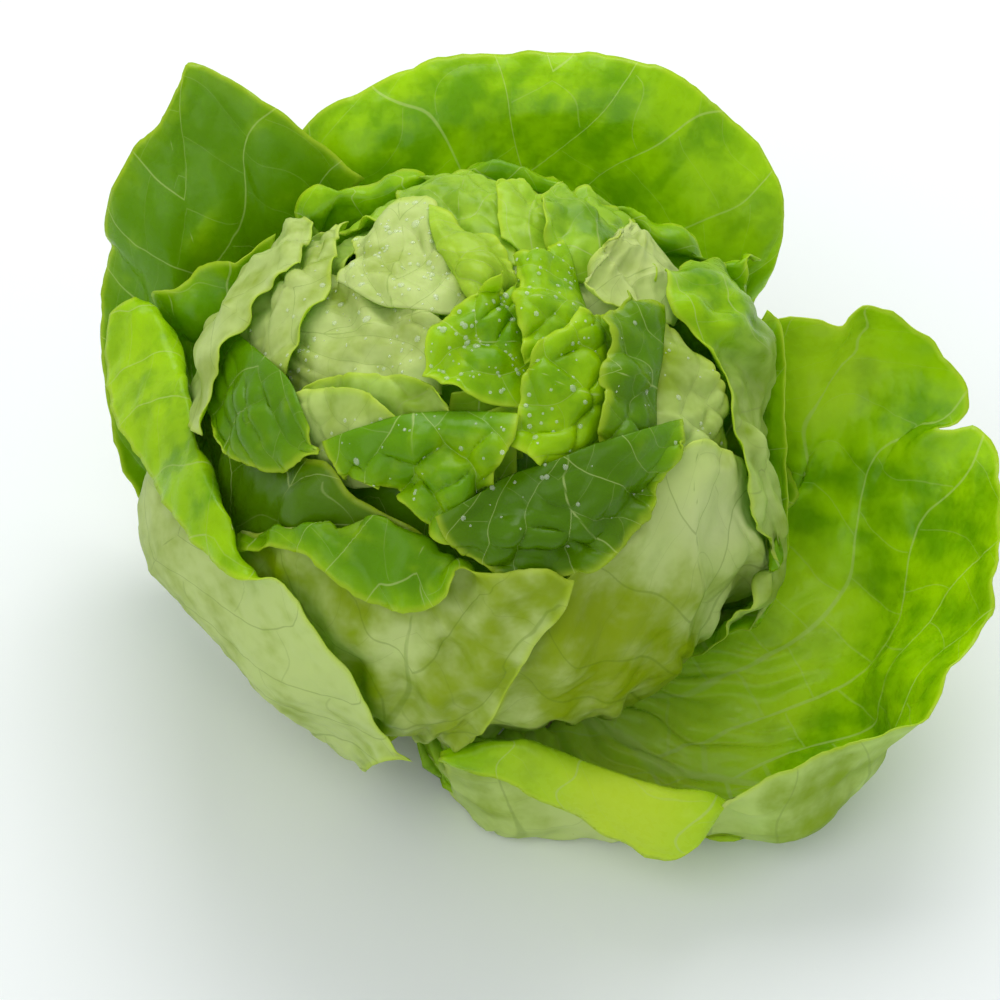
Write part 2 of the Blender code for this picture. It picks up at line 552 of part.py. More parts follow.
def spread(needed):
    """The greatest of each value and the eight round it."""
    padded = np.pad(needed, 1)
    cuts, columns = needed.shape
    return np.max([padded[i:i + cuts, j:j + columns] for i in range(3) for j in range(3)], axis=0)


def eased(push):
    """The push with its steps smoothed, nowhere less than it was."""
    padded = np.pad(push, 1, mode="edge")
    cuts, columns = push.shape
    mean = np.mean([padded[i:i + cuts, j:j + columns] for i in range(3) for j in range(3)], axis=0)
    return np.maximum(push, mean)


def smoothed(grid):
    """The grid with each point inside it moved half way to the mean of the four next to it."""
    mean = (grid[:-2, 1:-1] + grid[2:, 1:-1] + grid[1:-1, :-2] + grid[1:-1, 2:]) / 4
    grid = grid.copy()
    grid[1:-1, 1:-1] += (mean - grid[1:-1, 1:-1]) / 2
    return grid


def lifted_clear(grid, stack):
    """The grid, moved out from the head's middle wherever it comes too near to the leaves stacked so far."""
    start = settled(smoothed(smoothed(grid)))
    grid = start
    for turn in range(LIFT_ROUNDS):
        if turn < SMOOTH_ROUNDS:
            grid = smoothed(grid)
        needed = spread(spread(shortfall(halved(halved(grid)), stack)))[::4, ::4]
        way = grid - HEAD_MIDDLE
        way /= np.linalg.norm(way, axis=2, keepdims=True)
        room = MOST_LIFT - np.linalg.norm(grid - start, axis=2)
        lift = np.minimum(eased(eased(needed)), np.clip(room, 0.0, None))
        grid = settled(grid + way * lift[:, :, None])
    return grid


def settled(grid):
    """The grid kept above the table and out of the stem."""
    grid = grid.copy()
    grid[:, :, 2] = np.maximum(grid[:, :, 2], FLOOR_CLEAR + BLADE)
    height = grid[:, :, 2:]
    aside = grid[:, :, :2] - HEAD_MIDDLE[:2] * height / HEAD_MIDDLE[2]
    radius = BUTT_RADIUS + (STEM_TOP_RADIUS - BUTT_RADIUS) * height / STEM_TOP + BASE_CLEAR
    distance = np.linalg.norm(aside, axis=2, keepdims=True)
    outward = aside / distance * np.clip(radius - distance, 0.0, None)
    grid[:, :, :2] += np.where(height < STEM_TOP + BLADE, outward, 0.0)
    return grid


def second_skin(grid):
    """The grid moved one blade's thickness against its own outward side."""
    along = np.gradient(grid, axis=0)
    across = np.gradient(grid, axis=1)
    normal = np.cross(across, along)
    return grid - normal / np.linalg.norm(normal, axis=2, keepdims=True) * BLADE


def grid_faces(cuts, columns, start):
    faces = []
    for i in range(cuts - 1):
        for j in range(columns - 1):
            a = start + i * columns + j
            faces.append((a, a + 1, a + columns + 1, a + columns))
    return faces


def stack_of(grids):
    """One search tree over all the leaves laid so far."""
    points, faces = [], []
    for grid in grids:
        for skin_grid in (grid, second_skin(grid)):
            faces += grid_faces(*grid.shape[:2], len(points))
            points += [Vector(point) for point in skin_grid.reshape(-1, 3)]
    return BVHTree.FromPolygons(points, faces)


def painted(name, colour, roughness):
    material = bpy.data.materials.new(name)
    material.use_nodes = True
    shader = material.node_tree.nodes["Principled BSDF"]
    shader.inputs["Base Color"].default_value = (*colour, 1.0)
    shader.inputs["Roughness"].default_value = roughness
    shader.inputs["Metallic"].default_value = 0.0
    return material


def made_object(name, bm, colour, roughness=0.45):
    mesh = bpy.data.meshes.new(name)
    bm.to_mesh(mesh)
    bm.free()
    mesh.shade_smooth()
    mesh.materials.append(painted(name, colour, roughness))
    made = bpy.data.objects.new(name, mesh)
    bpy.context.scene.collection.objects.link(made)
    return made


def blade_mesh(grid):
    """A closed blade: a flat grid made solid, then laid through the points of the leaf's two skins."""
    cuts, columns = grid.shape[:2]
    bm = bmesh.new()
    bmesh.ops.create_grid(bm, x_segments=columns - 1, y_segments=cuts - 1, size=1.0)
    bmesh.ops.triangulate(bm, faces=bm.faces[:], quad_method="ALTERNATE")
    bmesh.ops.solidify(bm, geom=bm.faces[:], thickness=1.0)
    bmesh.ops.recalc_face_normals(bm, faces=bm.faces[:])
    inner = second_skin(grid)
    for vert in bm.verts:
        i = round((vert.co.y + 1) / 2 * (cuts - 1))
        j = round((vert.co.x + 1) / 2 * (columns - 1))
        skin_grid = grid if abs(vert.co.z) < 0.5 else inner
        vert.co = Vector(skin_grid[i, j] * MM)
    return bm


def core_mesh():
    bm = bmesh.new()
    bmesh.ops.create_uvsphere(bm, u_segments=CORE_SIDES, v_segments=CORE_RINGS, radius=1.0)
    for vert in bm.verts:
        vert.co = Vector((HEAD_MIDDLE + CORE_SHARE * HEAD_AXES * np.array(vert.co)) * MM)
    bmesh.ops.triangulate(bm, faces=bm.faces[:])
    return bm


def fuse(target, piece):
    """Join the piece into the target with an exact union, and hide it."""
    piece.hide_render = True
    piece.display_type = "WIRE"
    union = target.modifiers.new(piece.name, "BOOLEAN")
    union.operation = "UNION"
    union.solver = "EXACT"
    union.object = piece


def heart():
    """The dense middle with its small leaves fused to it."""
    made = made_object("heart", core_mesh(), GREEN)
    for index, (rows, cells) in enumerate(heart_leaves()):
        piece = made_object(f"heart_leaf_{index + 1}", blade_mesh(lofted(rows, *cells)), GREEN)
        fuse(made, piece)


def core_grid():
    """The core's skin, as the first thing that the leaves are laid on."""
    rows = [ring(180, 180, latitude, CORE_SHARE, CORE_SIDES * 2) for latitude in np.linspace(-88, 88, 40)]
    return np.array(rows)


def stem():
    """The cut stem: a cone that leans towards the head, with its cut face flat on the table."""
    bm = bmesh.new()
    bmesh.ops.create_cone(
        bm, cap_ends=True, segments=STEM_SIDES, radius1=BUTT_RADIUS * MM, radius2=STEM_TOP_RADIUS * MM,
        depth=STEM_TOP * MM,
    )
    lean = HEAD_MIDDLE / HEAD_MIDDLE[2]
    for vert in bm.verts:
        height = vert.co.z / MM + STEM_TOP / 2
        vert.co += Vector((lean[0] * height * MM, lean[1] * height * MM, STEM_TOP / 2 * MM))
    rims = [edge for edge in bm.edges if abs(edge.verts[0].co.z - edge.verts[1].co.z) < BUTT_BEVEL * MM / 2]
    bmesh.ops.bevel(
        bm, geom=rims, affect="EDGES", offset=BUTT_BEVEL * MM, offset_type="OFFSET", segments=2,
        profile=0.5, material=-1,
    )
    made_object("stem", bm, STEM_WHITE)


def clear_scene():
    for old in list(bpy.data.objects):
        bpy.data.objects.remove(old)


def main():
    clear_scene()
    stem()
    heart()
    laid = [core_grid()] + [lofted(rows, *cells) for rows, cells in heart_leaves()]
    for name, colour, rows, cells in inner_leaves() + head_leaves() + wrapper_leaves():
        grid = lifted_clear(lofted(rows, *cells), stack_of(laid))
        laid.append(grid)
        made_object(name, blade_mesh(grid), colour)


main()
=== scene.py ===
"""The look of a head of butterhead lettuce: fine leaves with veins, puckers and water drops.

It is laid out as a Blender add-on and is run as a script. Every leaf is a thin blade lofted through a few
rows of points from the stem to the free rim. Rows near the head are shares of one egg-shaped shell. A rim
is given as the viewer sees it, so far across and up in millimetres, with a height or a share of the shell.
"""

import math

import bmesh
import bpy
import numpy as np
from mathutils import Matrix, Vector
from mathutils.bvhtree import BVHTree


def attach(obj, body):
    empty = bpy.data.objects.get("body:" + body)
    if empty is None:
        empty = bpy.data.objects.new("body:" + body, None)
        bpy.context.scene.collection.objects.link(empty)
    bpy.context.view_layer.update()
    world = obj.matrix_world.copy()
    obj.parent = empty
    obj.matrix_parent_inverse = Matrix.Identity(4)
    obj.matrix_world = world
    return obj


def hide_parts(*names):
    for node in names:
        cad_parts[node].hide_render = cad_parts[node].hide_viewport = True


bl_info = {
    "name": "Lettuce head",
    "version": (1, 0, 0),
    "blender": (4, 5, 0),
    "location": "View3D > Sidebar > Lettuce",
    "description": "Builds the leaves, heart, stem, water drops and stage of a lettuce head",
    "category": "Object",
}

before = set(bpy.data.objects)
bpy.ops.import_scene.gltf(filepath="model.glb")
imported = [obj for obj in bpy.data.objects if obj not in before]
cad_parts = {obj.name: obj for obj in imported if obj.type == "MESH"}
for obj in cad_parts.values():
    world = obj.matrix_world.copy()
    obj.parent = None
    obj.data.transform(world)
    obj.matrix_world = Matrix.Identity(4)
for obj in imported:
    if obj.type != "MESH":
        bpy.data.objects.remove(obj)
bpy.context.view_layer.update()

MM = 0.001

# The head: the middle of its shell over the middle of the cut stem, and its half axes.
HEAD_MIDDLE = np.array([-20.0, 18.0, 78.0])
HEAD_AXES = np.array([70.0, 68.0, 64.0])

# The viewer, who sees the middle of the head at HEAD_SEEN_AT, and how much the picture takes in.
VIEW_PITCH = math.radians(50)
VIEW_DISTANCE = 800.0
HEAD_SEEN_AT = (-3.0, 10.0)
PICTURE_HALF = 125.0
SENSOR = 36.0

# The stem, and the leaf bases that stand round it one above the other.
BUTT_RADIUS = 15.0
STEM_TOP_RADIUS = 9.0
STEM_TOP = 26.0
BUTT_BEVEL = 1.2
LOWEST_BASE = 2.6
BASE_STEP = 1.75
BASE_CLEAR = 1.8
OUTER_SHARE = 1.185
SHARE_STEP = 0.0225
FLOOR_CLEAR = 0.4

# How leaves are kept clear of one another, and how finely they are laid.
CLEAR_OF_NEXT = 1.9
LEAST_GAP = 1.35
FAR_OUT = 300.0
MOST_STEP = 12.0
MOST_LIFT = 13.0
LIFT_ROUNDS = 7
SPAN_CUTS = 3
EVENING = 0.45
FINE = 4
CORE_SHARE = 0.8

# A blade's rim: the waves and the nicks along it, how far in it is ruffled, and where it is full.
RIM_WAVE = 11.0
RIM_NICK = 2.6
RUFFLE_SIZE = 9.0
RUFFLE_REACH = 5.0
THICK_FROM = 6.0

# The small unevenness of a blade, and over how far its puckers change in height.
BUMP_SIZE = 4.5
BUMP_HEIGHT = 0.14
PUCKER_CHANGE = 25.0

# How far a side vein climbs for each millimetre that it runs away from the midrib.
VEIN_SLANT = 1.2

HEART_CREASE = 0.015
HEART_CREASE_SIZE = 16.0

# Drops keep off the rim and off what faces away, and lie this far out of either side of a blade.
DROP_OFF_RIM = 1.0
DROP_LEAST_FACING = 0.35
DROP_FLATNESS = 0.4
DROP_ABOVE = 0.05
DROP_BELOW = 0.6
DROP_TRIES = 12
SEEN_WITHIN = 3.0

# The lamps: name, place, size and power.
LAMPS = (
    ("window", (0.05, 0.75, 0.95), 0.8, 7.6),
    ("fill", (-0.5, -0.7, 1.2), 1.2, 6.0),
)

ACROSS = np.array([1.0, 0.0, 0.0])
UP = np.array([0.0, math.sin(VIEW_PITCH), math.cos(VIEW_PITCH)])
AHEAD = np.array([0.0, math.cos(VIEW_PITCH), -math.sin(VIEW_PITCH)])
EYE = HEAD_MIDDLE - HEAD_SEEN_AT[0] * ACROSS - HEAD_SEEN_AT[1] * UP - VIEW_DISTANCE * AHEAD

# The grids that are laid so far, and each leaf's fine grid and fields by the name of its node.
laid = []
fine_leaves = {}


def sight(across, up):
    """The way the viewer looks to see this place, one step long at the head's middle."""
    return VIEW_DISTANCE * AHEAD + across * ACROSS + up * UP


def aloft(across, up, height):
    """The point seen at this place that stands this high above the table."""
    way = sight(across, up)
    return EYE + way * (height - EYE[2]) / way[2]


def snug(across, up, share=1.0):
    """The point seen at this place on the shell, or beside it where the view passes the shell by."""
    way = sight(across, up) / HEAD_AXES
    start = (EYE - HEAD_MIDDLE) / HEAD_AXES
    a, b, c = way @ way, start @ way, start @ start - share**2
    step = (-b - math.sqrt(max(b * b - a * c, 0.0))) / a
    return EYE + sight(across, up) * step


def skin(share, *places):
    """A row of points seen at these places, all on one share of the shell."""
    return [snug(across, up, share) for across, up in places]


def crest(*places):
    """A row of points seen at these places, each with its height above the table."""
    return [aloft(*place) for place in places]


def cap(*places):
    """A row of points seen at these places, each on its own share of the shell."""
    return [snug(*place) for place in places]


def ring(azimuth, half, latitude, share, count, last_latitude=None):
    """A row round the shell, from azimuth - half to azimuth + half degrees, which may climb or sink."""
    if last_latitude is None:
        last_latitude = latitude
    angles = np.radians(np.linspace(azimuth - half, azimuth + half, count))
    row = []
    for angle, level in zip(angles, np.radians(np.linspace(latitude, last_latitude, count))):
        way = (math.cos(angle) * math.cos(level), math.sin(angle) * math.cos(level), math.sin(level))
        row.append(HEAD_MIDDLE + share * HEAD_AXES * way)
    return row


def base(azimuth, half, layer, count):
    """A row round the stem, where the leaf of this layer grows. Layer 0 is the outermost and lowest."""
    height = LOWEST_BASE + BASE_STEP * layer
    radius = BUTT_RADIUS + (STEM_TOP_RADIUS - BUTT_RADIUS) * height / STEM_TOP + BASE_CLEAR
    middle = HEAD_MIDDLE * height / HEAD_MIDDLE[2]
    row = []
    for angle in np.radians(np.linspace(azimuth - half, azimuth + half, count)):
        row.append(middle + radius * np.array([math.cos(angle), math.sin(angle), 0.0]))
    return row


def layer_share(layer):
    return OUTER_SHARE - SHARE_STEP * layer


def rolled(row, out, down):
    """A row moved away from the head's axis and down, for a rim that curls outwards."""
    moved = []
    for point in row:
        away = (point - HEAD_MIDDLE) * (1, 1, 0)
        moved.append(point + away / np.linalg.norm(away) * out - np.array([0.0, 0.0, down]))
    return moved


def wrapped(azimuth, half, layer, *rows, low=-62.0, low_share=None, base_half=40.0):
    """The rows of a leaf that grows from the stem and hugs the shell before it reaches the given rows."""
    count = len(rows[0])
    return [
        base(azimuth, base_half, layer, count),
        ring(azimuth, half, low, low_share or layer_share(layer), count),
        *rows,
    ]


def wrapper_leaves():
    """The loose leaves round the head, from the innermost out: nodes, rows, cells and finish."""
    back = wrapped(
        82, 42, 0,
        ring(84, 47, -22, 1.2, 12),
        crest((55, 33, 38), (61, 44, 56), (66, 60, 74), (64, 76, 90), (52, 88, 102), (36, 98, 110),
              (13, 103, 113), (-11, 101, 111), (-33, 93, 106), (-46, 85, 98), (-52, 72, 84),
              (-56, 60, 66)),
        crest((58, 36, 42), (65, 48, 60), (69, 64, 77), (69, 83, 94), (59, 96, 106), (41, 107, 115),
              (14, 113, 118), (-12, 111, 116), (-36, 102, 111), (-50, 93, 103), (-56, 78, 88),
              (-59, 64, 68)),
        low=-72, low_share=1.26,
    )
    left_back = wrapped(
        152, 36, 2,
        ring(168, 26, -58, 1.36, 15),
        ring(155, 40, -14, 1.22, 15, last_latitude=-52),
        crest((-37, 78, 98), (-49, 84, 106), (-60, 89, 112), (-68, 93, 115), (-73, 92, 115),
              (-77, 88, 112), (-81, 82, 107), (-85, 76, 101), (-89, 66, 88), (-89, 58, 76),
              (-92, 50, 66), (-93, 38, 52), (-92, 20, 34), (-88, 5, 20), (-81, -8, 10)),
        crest((-34, 80, 102), (-48, 92, 113), (-60, 101, 121), (-71, 107.5, 127), (-77.5, 110, 129),
              (-80.5, 104, 125), (-85, 95, 118), (-90.5, 90, 112), (-97, 73, 92), (-94, 66, 82),
              (-98.5, 57, 71), (-99.5, 43, 57), (-98, 24, 38), (-93, 5, 23), (-85, -9, 12)),
        low=-68, low_share=1.2,
    )
    right = [
        base(-47, 57, 1, 23),
        ring(-47, 60, -62, layer_share(1), 23),
        crest((-13, -70, 15), (-7, -76, 9), (2, -80.5, 6), (14, -83.5, 5), (27, -86, 5), (40, -87, 6),
              (54, -87, 7), (67, -87, 9), (77, -83, 11), (85, -74, 14), (91, -65, 18), (92, -54, 20),
              (91, -43, 21), (90, -31, 25), (89, -19, 30), (88, -11, 35), (86, -4, 40), (84, 3, 45),
              (81, 8, 49), (78, 9, 51), (74.5, 6, 49), (70, 8, 50), (63, 14, 48)),
        crest((-14, -59, 47), (-5, -58.5, 46), (7, -59, 47), (17, -65, 43), (31, -70.5, 39),
              (46, -74.5, 36), (58, -78, 32), (69, -79, 27), (80, -74, 27), (91, -66, 30),
              (99, -57, 34), (103, -46, 37), (104, -34, 39), (104, -21, 42), (103, -3, 48),
              (99, 11, 55), (96, 14, 58), (94, 19, 62), (91, 26, 67), (86, 30, 71), (78, 30, 72),
              (71, 29, 68), (62, 30, 64)),
        crest((-14.5, -61, 43), (-8, -65, 39), (2, -70, 36), (13, -76, 30), (27, -84.5, 22),
              (40, -89, 17), (54, -81, 30), (67, -70, 40), (79, -64.5, 44), (92, -58.5, 47),
              (108, -53, 50), (120.5, -30, 56), (126, -13, 61), (126, 6, 66), (119.5, 19, 70),
              (108, 16, 66), (117.5, 23.5, 72), (114.5, 32, 78), (101, 44, 88), (92, 49, 93),
              (85.5, 42, 89), (75, 46.5, 94), (66, 44, 90)),
    ]
    left_front = wrapped(
        210, 47, 4,
        crest((-80, 30, 58), (-78, 22, 53), (-78, 14, 46), (-79, 5, 38), (-79, -4, 34), (-78, -12, 31),
              (-75, -22, 28), (-68, -30, 26), (-60, -37, 22), (-53, -44, 17), (-45, -51, 12),
              (-36, -56, 9), (-28, -60, 10)),
        [aloft(-93, 49, 89), aloft(-89, 42, 88), aloft(-85.5, 34, 87), aloft(-81, 24, 88),
         aloft(-76, 14, 91), aloft(-71, 2, 95), aloft(-67, -8, 97), snug(-63.5, -17, 1.1),
         snug(-57, -24, 1.1), snug(-49, -35, 1.1), snug(-40, -48, 1.11), snug(-32, -59, 1.14),
         snug(-26, -65, 1.19)],
        [aloft(-96.5, 46, 85), aloft(-97.5, 38, 81), aloft(-97, 28, 79), aloft(-92, 17, 80),
         aloft(-86, 7, 83), aloft(-80, -3, 87), aloft(-73, -13, 90), snug(-65, -20, 1.14),
         snug(-54.5, -20.5, 1.1), snug(-45, -31.5, 1.1), snug(-36, -45, 1.11), snug(-29, -58.5, 1.13),
         snug(-22.5, -65.5, 1.18)],
    )
    back_low = wrapped(
        38, 34, 5,
        ring(38, 34, -32, 1.13, 9),
        rolled(ring(38, 28, -24, 1.2, 9), 4, -3),
    )
    right_upright = wrapped(
        4, 26, 6,
        ring(4, 26, -25, 1.04, 7),
        crest((61, -28, 38), (62.5, -9, 56), (63, 6, 67), (63, 20, 77), (62, 30, 84), (60, 36, 89),
              (58, 38, 92)),
        crest((65, -24, 42), (67, -5, 60), (68, 10, 72), (69, 26, 84), (68, 38, 92), (65, 43, 95),
              (62, 45, 97)),
        base_half=30,
    )
    left_inner = wrapped(
        166, 30, 7,
        ring(166, 30, -20, 1.07, 9),
        crest((-52, 54, 90), (-62, 50, 88), (-68, 50, 87), (-73, 49, 85), (-77, 46, 82), (-81, 43, 78),
              (-81, 36, 72), (-78, 24, 60), (-73, 10, 48)),
        crest((-52, 62, 98), (-63, 57.5, 95), (-69, 59, 95), (-76, 57.5, 93), (-80, 53.5, 89),
              (-87, 52, 86), (-86, 42, 77), (-82, 29, 64), (-76, 13, 50)),
    )
    loose = dict(
        spacing=(24, 18), waves=2.4, wave_size=38, pucker=-0.9, under=0.85, curl=0.3, pleat=1.3, factor=5)
    # The tone spots of these leaves are painted light and shade: a raised spot paints a lit or glowing
    # patch, a lowered one a shaded patch.
    return [
        (["wrapper_leaf_left_inner"], left_inner, (20, 14),
         dict(loose, tint_and_painted_light=-0.9, wave_size=14, waves=3.0)),
        (["wrapper_leaf_right_upright"], right_upright, (14, 14), dict(loose, tint_and_painted_light=0.3, waves=1.2)),
        (["wrapper_leaf_back_low"], back_low, (16, 11), dict(loose, tint_and_painted_light=0.0)),
        (["wrapper_leaf_left_front"], left_front, (25, 17),
         dict(loose, under=1.0, tint_and_painted_light=0.25, pucker=0.6, waves=1.6, turned=((-79, 14, 8, -1.0),),
              spots=((-45, -50, 25, 0.8), (-95, 25, 22, 0.3)))),
        (["wrapper_leaf_left_back"], left_back, (25, 17), dict(loose, tint_and_painted_light=-1.3, middle=0.38, ragged=1.3)),
        (["wrapper_leaf_right", "wrapper_leaf_front_right"], right, (36, 18),
         dict(loose, tint_and_painted_light=0.0, middle=0.45, pleat=2.4,
              spots=((30, -80, 30, 1.9), (78, -25, 20, 0.8), (80, 32, 24, 0.9), (65, -55, 20, 0.8),
                     (100, 5, 18, -0.35), (82, -76, 16, -1.0)))),
        (["wrapper_leaf_back"], back, (25, 17),
         dict(loose, tint_and_painted_light=-0.15, middle=0.55, spots=((60, 70, 30, 0.6),))),
    ]


def head_leaves():
    """The outer leaves of the closed head, from the innermost out: nodes, rows, cells and finish."""
    back_rim = crest((61, 57, 100), (57, 55, 98), (51.5, 58, 102), (47.5, 63, 106), (41, 68, 110),
                     (35, 72, 113), (21, 74, 116), (5.5, 77.5, 119), (-8, 78.5, 120), (-13, 76.5, 118),
                     (-18.5, 80, 121), (-28, 78.5, 119), (-37, 77.5, 117), (-44, 77.5, 115),
                     (-47, 72, 110), (-44, 66, 104))
    back = wrapped(92, 50, 9, ring(92, 56, -12, 1.03, 16), back_rim, rolled(back_rim, 4.0, 2.5))
    left_crest = crest((-50, 66, 107), (-57, 60.5, 103), (-64, 54, 98), (-67.5, 48, 94), (-71, 41, 90),
                       (-72.5, 34, 86), (-74, 25, 82), (-75, 18, 78))
    left = wrapped(
        172, 32, 8,
        ring(172, 34, -15, 1.03, 8),
        left_crest,
        cap((-45, 67, 1.05), (-49.5, 56, 1.04), (-56, 50, 1.03), (-61, 43, 1.03), (-65, 36, 1.03),
            (-68, 29, 1.03), (-70.5, 22, 1.04), (-73, 16, 1.05)),
    )
    right = wrapped(
        2, 34, 8,
        ring(6, 36, -15, 0.985, 9),
        [snug(63, -10, 0.99), snug(63, 3, 0.99), snug(61, 14, 0.99), snug(58.5, 24, 0.99),
         snug(56, 33, 1.0), snug(56.5, 38, 1.04), snug(58, 43, 1.09), snug(59, 49, 1.11),
         aloft(55, 57, 99)],
        cap((60, -5, 0.99), (58.5, 6, 0.99), (56.5, 17, 0.99), (54.5, 29, 0.99), (50, 37, 0.99),
            (46.5, 43, 1.0), (42, 49, 1.01), (40.5, 55, 1.03), (46, 59, 1.05)),
    )
    front = wrapped(
        -108, 42, 10,
        ring(-119, 27, -48, 1.05, 12),
        cap((-62, -22, 1.02), (-55, -28, 1.02), (-47, -33, 1.02), (-38, -39, 1.02), (-28, -44, 1.02),
            (-20, -47, 1.02), (-12, -48, 1.02), (-6, -47, 1.02), (-1, -45, 1.02), (2, -42.5, 1.02),
            (5, -39.5, 1.02), (8, -36.5, 1.02)),
        cap((-65, -8, 1.0), (-59, -6, 1.0), (-50, -5.5, 1.0), (-40, -5.5, 0.99), (-28, -6.5, 0.99),
            (-17, -11, 0.985), (-10, -18, 0.99), (-3, -21, 1.0), (4, -21, 1.005), (9.5, -21, 1.01),
            (14, -22.5, 1.01), (16.5, -26, 1.01)),
        cap((-66, -13, 1.05), (-57.5, -12, 1.06), (-48, -14, 1.07), (-40, -21.5, 1.09),
            (-27, -28, 1.1), (-17, -27, 1.09), (-9.5, -19.5, 1.05), (-3, -17, 1.0), (4, -16, 1.0),
            (10, -15.5, 1.0), (15, -18, 1.0), (18, -19, 1.0)),
    )
    front_right = wrapped(
        -42, 52, 11,
        ring(-42, 52, -44, 1.02, 10),
        cap((0, -50, 0.98), (18, -43, 0.98), (33, -34, 0.98), (42, -29, 0.98), (49, -26, 0.99),
            (55, -23, 0.99), (60, -20, 0.99), (64, -18, 1.0), (66, -16, 1.0), (67, -15, 1.0)),
        cap((9, -30, 0.96), (19, -20, 0.95), (29, -10, 0.95), (37, 1, 0.95), (43, 9, 0.96),
            (48.5, 10, 0.97), (56, 7, 0.97), (61, 2, 0.98), (65.5, -5, 0.985), (67, -12, 0.99)),
        cap((10, -26, 0.95), (19, -15, 0.94), (29.5, -5, 0.94), (38, 6, 0.945), (43.5, 13.5, 0.955),
            (49, 14.5, 0.96), (57, 11, 0.965), (62, 6, 0.975), (66, -2, 0.985), (67.5, -10, 0.99)),
    )
    left_front = wrapped(
        200, 38, 12,
        cap((-72.5, 12, 0.985), (-71, 5, 0.985), (-68, 0, 0.98), (-62, -5, 0.98), (-56, -8, 0.975),
            (-51, -10, 0.975), (-46, -12, 0.97), (-39, -14, 0.965), (-31, -17, 0.96),
            (-23, -21, 0.955)),
        cap((-70, 30, 0.97), (-66, 26, 0.955), (-58, 19, 0.95), (-49, 12, 0.95), (-42, 9.5, 0.955),
            (-38.5, 5, 0.96), (-36, 1, 0.96), (-29, -3, 0.955), (-21, -7, 0.95), (-15, -12, 0.94)),
    )
    front_bright = [
        skin(0.90, (-14, -2), (0, 5), (12, 10), (25, 15), (40, 19)),
        skin(0.965, (-12, -9), (2, -3), (12, 1), (25, 6), (42, 14)),
        skin(0.99, (4, -20), (16, -19), (25, -14), (33, -7), (43.5, 12)),
    ]
    left_pocket = [
        skin(0.90, (-64, 42), (-57, 37), (-50, 31), (-45, 25), (-42, 17)),
        skin(0.97, (-68.5, 27), (-63, 20), (-57, 16.5), (-50, 13), (-44, 10)),
        skin(1.0, (-67.5, 16), (-63, 9), (-57, 7), (-50, 7.3), (-44, 8.5)),
    ]
    close = dict(
        spacing=(20, 14), waves=1.3, wave_size=20, pucker=0.7, under=1.0, curl=0.5, pleat=1.6)
    # The tone of these leaves is partly painted shade, and their tone spots are painted light and shade: a
    # raised spot paints a lit patch, a lowered one a shaded patch.
    return [
        (["head_leaf_left_front"], left_front, (22, 16), dict(close, tint_and_painted_light=-2.0, under=0.05, pucker=1.2)),
        (["head_leaf_left_pocket"], left_pocket, (16, 10),
         dict(close, tint_and_painted_light=-1.3, under=0.05, spacing=(12, 9), start=0.85, belly=-3, curl=-1.5, pucker=-1.8,
              pleat=0, ragged=1.8, waves=2)),
        (["head_leaf_front_right"], front_right, (24, 20),
         dict(close, tint_and_painted_light=0.0, waves=1.8, pleat=3.6,
              spots=((52, -6, 20, 2.0), (25, -35, 24, -2.0), (62, -22, 9, -1.2)))),
        (["head_leaf_front_bright"], front_bright, (24, 14),
         dict(close, tint_and_painted_light=-1.9, under=0.0, waves=2.0, wave_size=9, spacing=(11, 9), start=0.85, pleat=0,
              pucker=-2.0, curl=-1.2, belly=-2.5, ragged=1.8, spots=((42, 12, 12, 0.9),))),
        (["head_leaf_front"], front, (32, 22),
         dict(close, tint_and_painted_light=-1.0, waves=1.5, wave_size=14, pleat=3.6,
              spots=((-25, -36, 9, 1.6), (10, -28, 10, 0.7), (-45, -35, 8, 1.2)),
              turned=((-38.5, -8, 9, -1.0), (-20, -14, 7, -1.0)))),
        (["head_leaf_right"], right, (20, 16),
         dict(close, tint_and_painted_light=0.1, under=0.8, waves=1.8, wave_size=12, ragged=1.6,
              turned=((52, 48, 17, -1.0),))),
        (["head_leaf_back"], back, (30, 16),
         dict(close, tint_and_painted_light=-0.2, under=0.2, waves=2.2, wave_size=19, ragged=1.5)),
        (["head_leaf_left"], left, (20, 16),
         dict(close, tint_and_painted_light=0.4, wave_size=11, waves=1.8, ragged=1.8)),
    ]


